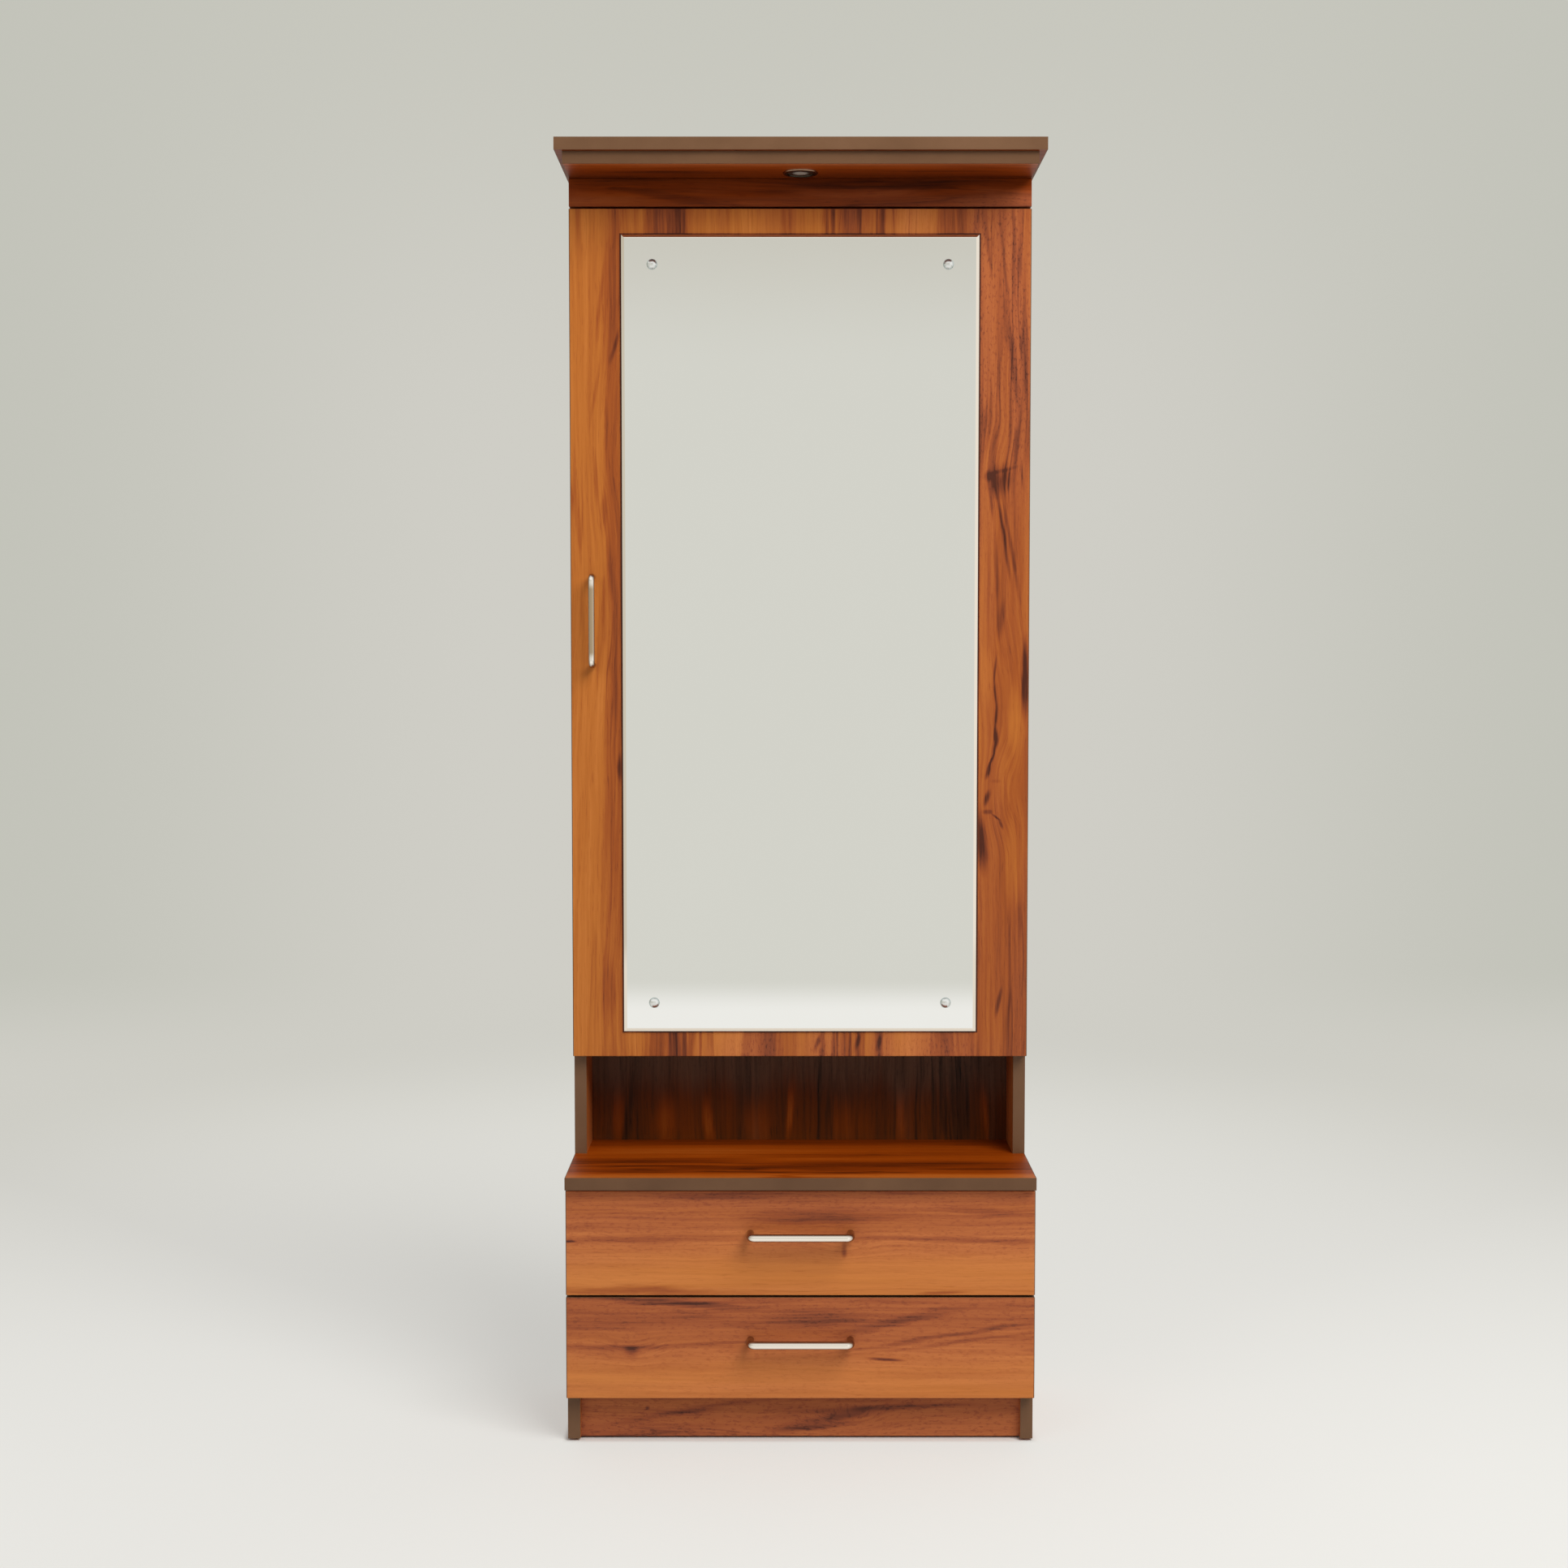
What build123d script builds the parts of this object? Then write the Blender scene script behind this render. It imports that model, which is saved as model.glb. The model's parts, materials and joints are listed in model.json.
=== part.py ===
from build123d import *

import os

# An upright dressing cabinet: a shallow cabinet behind one mirror door, an open niche under it, a deeper
# base with two drawers, and a stepped canopy that carries a small downlight. Millimetres, +Z up. The front
# faces -Y, +X is the viewer's right, and the origin is on the floor under the middle of the overall box.

# Boards and their joints
BOARD = 16.0
BACK_BOARD = 6.0
EDGE_BAND = 1.0
BAND_EASE = 0.4
FRONT_EASE = 0.8
BACK_RECESS = 10.0
GROOVE_DEPTH = 6.0
FIT = 0.1
DOWEL_RADIUS = 4.0
DOWEL_REACH = 12.0
BASE_DOWEL_FRONT = 25.0
BASE_DOWEL_REAR = 54.0
CABINET_DOWEL_FRONT = 16.0
CABINET_DOWEL_REAR = 24.0
CANOPY_DOWEL_SIDE = 50.0
CANOPY_DOWEL_FRONT = 27.0
CANOPY_DOWEL_REAR = 40.0
FASCIA_DOWEL_SIDE = 100.0
CAM_RADIUS = 7.5
CAM_HEIGHT = 12.0
CAM_INSET = 24.0
CAM_EDGE = 22.0
CAM_SLOT = 2.0
CAM_BOLT_RADIUS = 3.0
CAM_BOLT_REACH = 11.0

# Base
WIDTH = 600.0
BASE_DEPTH = 240.0
TOP_OVERHANG = 10.0
PLINTH_HEIGHT = 57.0
PLINTH_SETBACK = 10.0
GLIDE_HEIGHT = 3.0
GLIDE_RADIUS = 7.0
GLIDE_INSET = 18.0
GLIDE_NAIL_RADIUS = 1.2
GLIDE_NAIL_REACH = 10.0

# Cabinet
CABINET_HEIGHT = 1280.0
CABINET_DEPTH = 100.0
NICHE_HEIGHT = 136.0
FASCIA_HEIGHT = 36.0
PANEL_SETBACK = 1.0
SHELF_SETBACK = 5.0
SHELF_PLAY = 0.5
SHELF_COUNT = 4
SHELF_PIN_RADIUS = 2.5
SHELF_PIN_REACH = 8.0
SHELF_PIN_EDGE = 15.0
WALL_RAIL_HEIGHT = 60.0
WALL_HOLE_RADIUS = 3.0
WALL_HOLE_SPACING = 400.0
NOTCH_WIDTH = 24.0
NOTCH_HEIGHT = 14.0

# Canopy and downlight
CANOPY_REACH = 106.0
CANOPY_SIDE_LIP = 10.0
CANOPY_FRONT_LIP = 6.0
LIGHT_GAP = 9.5
LENS_RADIUS = 17.4
LENS_HEIGHT = 1.5
LENS_SINK = 0.8
HOUSING_WALL = 2.4
HOUSING_TOP_GAP = 1.0
BEZEL_LIP = 2.7
BEZEL_HEIGHT = 1.6
BEZEL_EASE = 1.0
REFLECTOR_DEPTH = 9.0
REFLECTOR_TOP_RADIUS = 6.0
REFLECTOR_LEDGE = 1.4
LEAD_RADIUS = 2.0
LEAD_BEND = 9.0
LEAD_SLOT_PLAY = 0.6
LEAD_BACK = 42.0
DRIVER_WIDTH = 80.0
DRIVER_DEPTH = 36.0
DRIVER_HEIGHT = 20.0
DRIVER_EASE = 2.0

# Door and mirror
FRONT_GAP = 2.0
REVEAL = 3.0
PANEL_LAP = 2.0
MIRROR_SIDE_MARGIN = 68.0
MIRROR_END_MARGIN = 34.0
MIRROR_THICKNESS = 4.0
MIRROR_BEVEL_WIDTH = 4.0
MIRROR_BEVEL_DEPTH = 1.2
MIRROR_SCREW_SIDE = 40.0
MIRROR_SCREW_END = 38.0
MIRROR_SCREW_RADIUS = 2.0
MIRROR_SCREW_REACH = 12.0
MIRROR_HEAD_RADIUS = 4.0
MIRROR_HEAD_HEIGHT = 2.5
MIRROR_HOLE_PLAY = 1.0
CAP_RADIUS = 7.0
CAP_HEIGHT = 5.0

# Handles
DOOR_HANDLE_PITCH = 115.0
DOOR_HANDLE_WIRE = 8.0
DOOR_HANDLE_REACH = 26.0
DOOR_HANDLE_IN = 29.0
DOOR_HANDLE_UP = 574.0
DRAWER_HANDLE_PITCH = 128.0
DRAWER_HANDLE_WIRE = 10.0
DRAWER_HANDLE_REACH = 28.0
DRAWER_HANDLE_DROP = 55.0
HANDLE_BEND = 6.5
HANDLE_SCREW_RADIUS = 2.0
HANDLE_SCREW_BITE = 10.0
HANDLE_HEAD_RADIUS = 4.0
HANDLE_HEAD_HEIGHT = 2.5

# Concealed door hinges
HINGE_COUNT = 3
HINGE_INSET = 100.0
CUP_EDGE = 4.6
CUP_RADIUS = 17.4
CUP_DEPTH = 12.0
CUP_WALL = 1.0
FLANGE_WIDTH = 14.0
FLANGE_HEIGHT = 62.0
FLANGE_THICKNESS = 1.0
CUP_SCREW_PITCH = 48.0
PLATE_THICKNESS = 4.0
PLATE_DEPTH = 40.0
PLATE_HEIGHT = 42.0
PLATE_EASE = 1.0
PLATE_SETBACK = 18.0
PLATE_SCREW_SETBACK = 37.0
PLATE_SCREW_PITCH = 32.0
PIVOT_FROM_SIDE = 9.0
PIVOT_SETBACK = 7.0
PIVOT_RADIUS = 1.6
PIVOT_PLAY = 0.05
ARM_SHEET = 1.5
ARM_NOSE = 4.0
LINK_WIDTH = 8.0
LINK_SIDE_PLAY = 0.5
LINK_SHEET = 2.4
LINK_LENGTH = 31.0
LINK_EYE_RADIUS = 3.4
LINK_WEB_GAP = 6.0
HOOK_CLEARANCE = 0.5
SMALL_SCREW_RADIUS = 1.75
SMALL_SCREW_REACH = 10.0
SMALL_HEAD_RADIUS = 3.3
SMALL_HEAD_HEIGHT = 1.6

# Drawers and their telescopic slides
UPPER_FRONT_HEIGHT = 135.0
LOWER_FRONT_HEIGHT = 131.0
DRAWER_BOARD = 12.0
DRAWER_BOTTOM = 3.0
BOTTOM_GROOVE = 5.0
BOTTOM_RISE = 8.0
GROOVE_PLAY = 0.2
BOX_RISE = 24.0
BOX_HEADROOM = 16.0
BOX_END_GAP = 13.0
SLIDE_SPACE = 13.0
SLIDE_HEIGHT = 45.0
SLIDE_SHEET = 1.2
SLIDE_PLAY = 0.4
SLIDE_MOUTH_GAP = 2.0
SLIDE_FRONT_SETBACK = 2.0
SLIDE_END_GAP = 14.0
SLIDE_SCREW_EDGE = 22.0

# Places across the width
OUTER = WIDTH / 2
INNER = OUTER - BOARD
SIDE_MIDDLE = OUTER - BOARD / 2
DRAWER_OUTER = INNER - SLIDE_SPACE
DRAWER_INNER = DRAWER_OUTER - DRAWER_BOARD
CANOPY_OUTER = OUTER + CANOPY_SIDE_LIP

# Places along the depth
OVERALL_DEPTH = BASE_DEPTH + DRAWER_HANDLE_REACH - TOP_OVERHANG
REAR = OVERALL_DEPTH / 2
BASE_FRONT = REAR - BASE_DEPTH
DRAWER_FACE = BASE_FRONT + TOP_OVERHANG
DRAWER_BACK = DRAWER_FACE + BOARD
BASE_SIDE_FRONT = DRAWER_BACK + FRONT_GAP
CABINET_FRONT = REAR - CABINET_DEPTH
DOOR_BACK = CABINET_FRONT - FRONT_GAP
DOOR_FACE = DOOR_BACK - BOARD
MIRROR_FACE = DOOR_FACE - MIRROR_THICKNESS
CANOPY_FRONT = CABINET_FRONT - CANOPY_REACH
LIGHT_BOARD_FRONT = CANOPY_FRONT + CANOPY_FRONT_LIP
FASCIA_FACE = CABINET_FRONT - BOARD
BACK_FACE = REAR - BACK_RECESS - BACK_BOARD
HOUSING_RADIUS = LENS_RADIUS + HOUSING_WALL
BEZEL_RADIUS = HOUSING_RADIUS + BEZEL_LIP
LIGHT_Y = FASCIA_FACE - LIGHT_GAP - BEZEL_RADIUS
LEAD_DROP_Y = CABINET_FRONT + LEAD_BACK
SLIDE_FRONT = BASE_SIDE_FRONT + SLIDE_FRONT_SETBACK
SLIDE_END = BACK_FACE - SLIDE_END_GAP
BOX_END = BACK_FACE - BOX_END_GAP

# Places up the height
BASE_BOTTOM_Z = GLIDE_HEIGHT + PLINTH_HEIGHT
LOWER_FRONT_Z = BASE_BOTTOM_Z + PANEL_LAP
UPPER_FRONT_Z = LOWER_FRONT_Z + LOWER_FRONT_HEIGHT + REVEAL
BASE_TOP_UNDER = UPPER_FRONT_Z + UPPER_FRONT_HEIGHT + REVEAL
BASE_HEIGHT = BASE_TOP_UNDER + BOARD
CABINET_TOP_Z = BASE_HEIGHT + CABINET_HEIGHT
LIGHT_BOARD_TOP = CABINET_TOP_Z + BOARD
CABINET_BOTTOM_Z = BASE_HEIGHT + NICHE_HEIGHT
DOOR_Z = CABINET_BOTTOM_Z - PANEL_LAP
FASCIA_Z = CABINET_TOP_Z - FASCIA_HEIGHT
DOOR_TOP = FASCIA_Z - REVEAL
LID_TOP = FASCIA_Z + PANEL_LAP
LID_Z = LID_TOP - BOARD
WALL_RAIL_Z = LID_Z - WALL_RAIL_HEIGHT
INSIDE_Z = CABINET_BOTTOM_Z + BOARD

SIDES = (-1, 1)
LEFT_TO_RIGHT = (1, 0, 0)
TO_BACK = (0, 1, 0)
TO_FRONT = (0, -1, 0)
UP = (0, 0, 1)
DOWN = (0, 0, -1)


def block(x, y, z):
    """A box between a low and a high place along each axis, in either order."""
    spans = [(min(pair), max(pair)) for pair in (x, y, z)]
    middle = [(low + high) / 2 for low, high in spans]
    return Pos(*middle) * Box(*[high - low for low, high in spans])


def rod(start, direction, length, radius):
    """A round bar from a point along a direction."""
    plane = Plane(origin=start, z_dir=direction)
    return plane * Cylinder(radius, length, align=(Align.CENTER, Align.CENTER, Align.MIN))


def eased(solid, radius):
    """The solid with all its edges rounded a little."""
    return fillet(solid.edges(), radius)


def boxes_meet(one, other):
    """Whether two solids' bounding boxes overlap."""
    a = one.bounding_box()
    b = other.bounding_box()
    lows = (max(p, q) for p, q in zip(a.min, b.min))
    highs = (min(p, q) for p, q in zip(a.max, b.max))
    return all(low < high for low, high in zip(lows, highs))


def cut(solid, tools):
    """The solid with every tool that reaches it taken out."""
    reaching = [tool for tool in tools if boxes_meet(solid, tool)]
    return solid - reaching if reaching else solid


def screw(point, direction, reach, radius, head_radius, head_height):
    """A screw whose head lies on a surface at the point and whose shank runs along the direction."""
    back = Vector(*direction) * -head_height
    shank = rod(point, direction, reach, radius)
    cap = rod(Vector(*point) + back, direction, head_height, head_radius)
    return shank + cap


def inward(side):
    """The direction from one side of the cabinet towards its middle."""
    return (-side, 0, 0)


def outward(side):
    """The direction from the middle of the cabinet towards one side."""
    return (side, 0, 0)


# Wood dowels

def dowel(middle, direction, play=0.0):
    """A dowel centred on a joint face."""
    half = DOWEL_REACH + play
    start = Vector(*middle) - Vector(*direction) * half
    return rod(start, direction, 2 * half, DOWEL_RADIUS + play)


BASE_DOWEL_YS = (BASE_SIDE_FRONT + BASE_DOWEL_FRONT, REAR - BASE_DOWEL_REAR)
CABINET_DOWEL_YS = (CABINET_FRONT + CABINET_DOWEL_FRONT, REAR - CABINET_DOWEL_REAR)
CANOPY_DOWEL_X = OUTER - CANOPY_DOWEL_SIDE
CANOPY_DOWEL_YS = (LIGHT_BOARD_FRONT + CANOPY_DOWEL_FRONT, REAR - CANOPY_DOWEL_REAR)
FASCIA_DOWEL_X = OUTER - FASCIA_DOWEL_SIDE
FASCIA_MIDDLE = CABINET_FRONT - BOARD / 2
PLINTH_MIDDLE_Y = BASE_SIDE_FRONT + PLINTH_SETBACK + BOARD / 2
PLINTH_MIDDLE_Z = GLIDE_HEIGHT + PLINTH_HEIGHT / 2
WALL_RAIL_MIDDLE_Y = BACK_FACE - BOARD / 2
WALL_RAIL_MIDDLE_Z = WALL_RAIL_Z + WALL_RAIL_HEIGHT / 2


def dowel_places():
    """Every dowel's middle and direction."""
    places = []
    for side in SIDES:
        x = side * SIDE_MIDDLE
        places += [((x, y, BASE_TOP_UNDER), UP) for y in BASE_DOWEL_YS]
        places += [((x, y, BASE_HEIGHT), UP) for y in CABINET_DOWEL_YS]
        places += [((x, y, CABINET_TOP_Z), UP) for y in CABINET_DOWEL_YS]
        places += [((side * CANOPY_DOWEL_X, y, LIGHT_BOARD_TOP), UP) for y in CANOPY_DOWEL_YS]
        places.append(((side * FASCIA_DOWEL_X, FASCIA_MIDDLE, CABINET_TOP_Z), UP))
        places.append(((side * INNER, PLINTH_MIDDLE_Y, PLINTH_MIDDLE_Z), LEFT_TO_RIGHT))
        places.append(((side * INNER, WALL_RAIL_MIDDLE_Y, WALL_RAIL_MIDDLE_Z), LEFT_TO_RIGHT))
    return places


dowels = [dowel(*place) for place in dowel_places()]
dowel_holes = [dowel(*place, play=FIT) for place in dowel_places()]


# Cam locks and their bolts

def cam_places():
    """Side, depth and board of every cam, with the face that its cam is let into."""
    boards = (
        (BASE_BOTTOM_Z, BASE_SIDE_FRONT + PLINTH_SETBACK + BOARD, DOWN),
        (CABINET_BOTTOM_Z, CABINET_FRONT, UP),
        (LID_Z, CABINET_FRONT, UP),
    )
    places = []
    for board_z, front, face in boards:
        for side in SIDES:
            for y in (front + CAM_EDGE, BACK_FACE - CAM_EDGE):
                places.append((side, y, board_z, face))
    return places


def cam(side, y, board_z, face, play=0.0):
    """A cam let into the board's upper or lower face."""
    at_face = board_z + BOARD if face == UP else board_z
    into = DOWN if face == UP else UP
    return rod((side * (INNER - CAM_INSET), y, at_face), into, CAM_HEIGHT + play, CAM_RADIUS + play)


def cam_with_slot(side, y, board_z, face):
    """A cam with the cross that a screwdriver turns."""
    at_face = board_z + BOARD if face == UP else board_z
    middle = Pos(side * (INNER - CAM_INSET), y, at_face)
    slots = [Box(CAM_RADIUS, CAM_SLOT, CAM_SLOT), Box(CAM_SLOT, CAM_RADIUS, CAM_SLOT)]
    return cam(side, y, board_z, face) - [middle * slot for slot in slots]


def cam_bolt(side, y, board_z):
    """The bolt that a cam draws in, from the side board to the cam's rim."""
    length = CAM_BOLT_REACH + CAM_INSET - CAM_RADIUS - FIT
    start = (side * (INNER + CAM_BOLT_REACH), y, board_z + BOARD / 2)
    return rod(start, inward(side), length, CAM_BOLT_RADIUS)


def cam_bolt_hole(side, y, board_z):
    """The bore for a cam's bolt, from the side board to the middle of the cam's own hole."""
    length = FIT + CAM_BOLT_REACH + CAM_INSET
    start = (side * (INNER + CAM_BOLT_REACH + FIT), y, board_z + BOARD / 2)
    return rod(start, inward(side), length, CAM_BOLT_RADIUS + FIT)


cams = [cam_with_slot(*place) for place in cam_places()]
cam_bolts = [cam_bolt(*place[:3]) for place in cam_places()]
cam_holes = [cam(*place, play=FIT) for place in cam_places()]
cam_holes += [cam_bolt_hole(*place[:3]) for place in cam_places()]


# Shelves and their pins

SHELF_FRONT = CABINET_FRONT + SHELF_SETBACK
SHELF_SPACE = (LID_Z - INSIDE_Z - SHELF_COUNT * BOARD) / (SHELF_COUNT + 1)
SHELF_ZS = [INSIDE_Z + SHELF_SPACE + step * (SHELF_SPACE + BOARD) for step in range(SHELF_COUNT)]


def shelf_pin(side, y, shelf_z, play=0.0):
    """A pin half in the side board and half under the shelf."""
    start = (side * (INNER - SHELF_PIN_REACH), y, shelf_z - SHELF_PIN_RADIUS)
    return rod(start, outward(side), 2 * SHELF_PIN_REACH + play, SHELF_PIN_RADIUS + play)


def shelf_pin_places():
    """Side, depth and shelf height of every pin."""
    ys = (SHELF_FRONT + SHELF_PIN_EDGE, BACK_FACE - SHELF_PIN_EDGE)
    return [(side, y, z) for z in SHELF_ZS for side in SIDES for y in ys]


def shelf(z):
    """A loose shelf that lies on its pins."""
    reach = INNER - SHELF_PLAY
    return block((-reach, reach), (SHELF_FRONT, BACK_FACE - SHELF_PLAY), (z, z + BOARD))


shelf_pins = [shelf_pin(*place) for place in shelf_pin_places()]
shelf_pin_holes = [shelf_pin(*place, play=FIT) for place in shelf_pin_places()]


# Floor glides

def glide(side, y, play=0.0):
    """A plastic disc with a nail up into the side board."""
    foot = (side * SIDE_MIDDLE, y, 0)
    disc = rod(foot, UP, GLIDE_HEIGHT, GLIDE_RADIUS)
    nail = rod(foot, UP, GLIDE_HEIGHT + GLIDE_NAIL_REACH + play, GLIDE_NAIL_RADIUS + play)
    return disc + nail


GLIDE_PLACES = [(side, y) for side in SIDES for y in (BASE_SIDE_FRONT + GLIDE_INSET, REAR - GLIDE_INSET)]
glides = [glide(*place) for place in GLIDE_PLACES]
glide_holes = [glide(*place, play=FIT) for place in GLIDE_PLACES]


# Concealed hinges, all on the right side

HINGE_SPAN = DOOR_TOP - DOOR_Z - 2 * HINGE_INSET
HINGE_ZS = [DOOR_Z + HINGE_INSET + HINGE_SPAN * step / (HINGE_COUNT - 1) for step in range(HINGE_COUNT)]
CUP_X = OUTER - CUP_EDGE - CUP_RADIUS
PIVOT_X = INNER - PIVOT_FROM_SIDE
PIVOT_Y = CABINET_FRONT + PIVOT_SETBACK
PLATE_Y = CABINET_FRONT + PLATE_SETBACK
PLATE_FACE = INNER - PLATE_THICKNESS
PLATE_SCREW_Y = CABINET_FRONT + PLATE_SCREW_SETBACK
PLATE_END = PLATE_Y + PLATE_DEPTH
ARM_LEFT = PIVOT_X - ARM_NOSE - ARM_SHEET
ARM_INSIDE = LINK_WIDTH / 2 + LINK_SIDE_PLAY
ARM_OUTSIDE = ARM_INSIDE + ARM_SHEET


def cup_bore(z):
    """The round pocket in the door's back that takes a hinge cup."""
    return rod((CUP_X, DOOR_BACK, z), TO_FRONT, CUP_DEPTH + FIT, CUP_RADIUS + FIT)


def hinge_cup(z):
    """A pressed cup with a flange that lies on the door's back."""
    half_width = FLANGE_WIDTH / 2
    half_height = FLANGE_HEIGHT / 2
    flange = block(
        (CUP_X - half_width, CUP_X + half_width),
        (DOOR_BACK, DOOR_BACK + FLANGE_THICKNESS),
        (z - half_height, z + half_height),
    )
    body = rod((CUP_X, DOOR_BACK, z), TO_FRONT, CUP_DEPTH, CUP_RADIUS)
    mouth = (CUP_X, DOOR_BACK + FLANGE_THICKNESS, z)
    hollow = rod(mouth, TO_FRONT, FLANGE_THICKNESS + CUP_DEPTH - CUP_WALL, CUP_RADIUS - CUP_WALL)
    return cut(flange + body - hollow, [cup_screw(z, step, FIT) for step in SIDES])


def cup_screw(z, step, play=0.0):
    """One of the two screws that hold a cup's flange on the door."""
    point = (CUP_X, DOOR_BACK + FLANGE_THICKNESS, z + step * CUP_SCREW_PITCH / 2)
    reach = FLANGE_THICKNESS + SMALL_SCREW_REACH + play
    return screw(
        point, TO_FRONT, reach, SMALL_SCREW_RADIUS + play, SMALL_HEAD_RADIUS, SMALL_HEAD_HEIGHT
    )


def hinge_plate(z):
    """The mounting plate on the cabinet side's inner face."""
    half_height = PLATE_HEIGHT / 2
    plate = block((PLATE_FACE, INNER), (PLATE_Y, PLATE_END), (z - half_height, z + half_height))
    return cut(eased(plate, PLATE_EASE), [plate_screw(z, step, FIT) for step in SIDES])


def plate_screw(z, step, play=0.0):
    """One of the two screws that hold a plate on the cabinet side."""
    point = (PLATE_FACE, PLATE_SCREW_Y, z + step * PLATE_SCREW_PITCH / 2)
    reach = PLATE_THICKNESS + SMALL_SCREW_REACH + play
    return screw(
        point, outward(1), reach, SMALL_SCREW_RADIUS + play, SMALL_HEAD_RADIUS, SMALL_HEAD_HEIGHT
    )


def hinge_arm(z):
    """The channel on the plate: two cheeks, joined behind the link by a web."""
    nose = PIVOT_Y - ARM_NOSE
    shell = block((ARM_LEFT, PLATE_FACE), (nose, PLATE_END), (z - ARM_OUTSIDE, z + ARM_OUTSIDE))
    inside = (z - ARM_INSIDE, z + ARM_INSIDE)
    hollow = block((ARM_LEFT + ARM_SHEET, PLATE_FACE), (nose, PLATE_END), inside)
    mouth = block((ARM_LEFT, ARM_LEFT + ARM_SHEET), (nose, PIVOT_Y + LINK_WEB_GAP), inside)
    return shell - [hollow, mouth, pivot_pin(z, PIVOT_PLAY)]


def pivot_pin(z, play=0.0):
    """The rivet that a link turns on."""
    start = (PIVOT_X, PIVOT_Y, z - ARM_OUTSIDE)
    return rod(start, UP, 2 * ARM_OUTSIDE, PIVOT_RADIUS + play)


def hinge_link(z):
    """A hooked strap: an eye on the rivet, a bar across the door's back and a hook towards the cup."""
    half_width = LINK_WIDTH / 2
    half_sheet = LINK_SHEET / 2
    span = (z - half_width, z + half_width)
    tip_x = PIVOT_X - LINK_LENGTH
    eye = rod((PIVOT_X, PIVOT_Y, z - half_width), UP, LINK_WIDTH, LINK_EYE_RADIUS)
    bar = block((tip_x - half_sheet, PIVOT_X), (PIVOT_Y - half_sheet, PIVOT_Y + half_sheet), span)
    hook_end = DOOR_BACK + HOOK_CLEARANCE
    hook = block((tip_x - half_sheet, tip_x + half_sheet), (hook_end, PIVOT_Y), span)
    return eye + bar + hook - pivot_pin(z, PIVOT_PLAY)


hinge_cups = [hinge_cup(z) for z in HINGE_ZS]
cup_screws = [cup_screw(z, step) for z in HINGE_ZS for step in SIDES]
cup_holes = [cup_bore(z) for z in HINGE_ZS]
cup_holes += [cup_screw(z, step, FIT) for z in HINGE_ZS for step in SIDES]
hinge_plates = [hinge_plate(z) for z in HINGE_ZS]
plate_screws = [plate_screw(z, step) for z in HINGE_ZS for step in SIDES]
plate_screw_holes = [plate_screw(z, step, FIT) for z in HINGE_ZS for step in SIDES]
hinge_arms = [hinge_arm(z) for z in HINGE_ZS]
hinge_pins = [pivot_pin(z) for z in HINGE_ZS]
hinge_links = [hinge_link(z) for z in HINGE_ZS]


# Telescopic drawer slides: each member is a channel nested in the one before

def channel(side, middle_z, web, mouth, half_height):
    """A channel along the depth: its web and its mouth are distances in from the cabinet side."""
    x_web = side * (INNER - web)
    x_mouth = side * (INNER - mouth)
    towards_mouth = SLIDE_SHEET if mouth > web else -SLIDE_SHEET
    x_inside = side * (INNER - web - towards_mouth)
    inside = half_height - SLIDE_SHEET
    depth = (SLIDE_FRONT, SLIDE_END)
    shell = block((x_web, x_mouth), depth, (middle_z - half_height, middle_z + half_height))
    return shell - block((x_inside, x_mouth), depth, (middle_z - inside, middle_z + inside))


def slide_screw(side, y, middle_z, play=0.0):
    """A flush screw through the outer member's web into the base side."""
    point = (side * INNER, y, middle_z)
    reach = SMALL_SCREW_REACH + play
    radius = SMALL_SCREW_RADIUS + play
    return screw(point, outward(side), reach, radius, SMALL_HEAD_RADIUS + play, SLIDE_SHEET)


SLIDE_MOUTH = SLIDE_SPACE - SLIDE_MOUTH_GAP
SLIDE_NEST = SLIDE_SHEET + SLIDE_PLAY
SLIDE_SCREW_YS = (SLIDE_FRONT + SLIDE_SCREW_EDGE, SLIDE_END - SLIDE_SCREW_EDGE)


def slide_outer(side, middle_z):
    """The member that is screwed to the base side."""
    member = channel(side, middle_z, 0.0, SLIDE_MOUTH, SLIDE_HEIGHT / 2)
    return member - [slide_screw(side, y, middle_z, FIT) for y in SLIDE_SCREW_YS]


def slide_middle(side, middle_z):
    """The member that runs out half as far as the drawer."""
    return channel(side, middle_z, SLIDE_NEST, SLIDE_MOUTH, SLIDE_HEIGHT / 2 - SLIDE_NEST)


def slide_inner(side, middle_z):
    """The member on the drawer side."""
    return channel(side, middle_z, SLIDE_SPACE, 2 * SLIDE_NEST, SLIDE_HEIGHT / 2 - 2 * SLIDE_NEST)


# Handles: a wire bent twice, with a screw up each leg

def bow_handle(pitch, wire, reach):
    """A handle along X whose legs stand on the plane Y = 0 and whose bow lies at -Y."""
    half = pitch / 2
    depth = reach - wire / 2
    points = [(-half, 0, 0), (-half, -depth, 0), (half, -depth, 0), (half, 0, 0)]
    path = FilletPolyline(*points, radius=HANDLE_BEND)
    section = Plane(origin=points[0], z_dir=TO_FRONT) * Circle(wire / 2)
    return sweep(section, path=path)


def handle_screws(pitch, play=0.0):
    """The two screws of a handle, from the back of its board into its legs."""
    reach = BOARD + HANDLE_SCREW_BITE + play
    radius = HANDLE_SCREW_RADIUS + play
    return [
        screw((x, BOARD, 0), TO_FRONT, reach, radius, HANDLE_HEAD_RADIUS, HANDLE_HEAD_HEIGHT)
        for x in (-pitch / 2, pitch / 2)
    ]


def handle_set(place, pitch, wire, reach):
    """A handle, its screws and the holes that the screws need, all at one place on a front."""
    holes = handle_screws(pitch, FIT)
    bow = bow_handle(pitch, wire, reach) - holes
    return (
        place * bow,
        [place * piece for piece in handle_screws(pitch)],
        [place * hole for hole in holes],
    )


# Base boards

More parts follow.
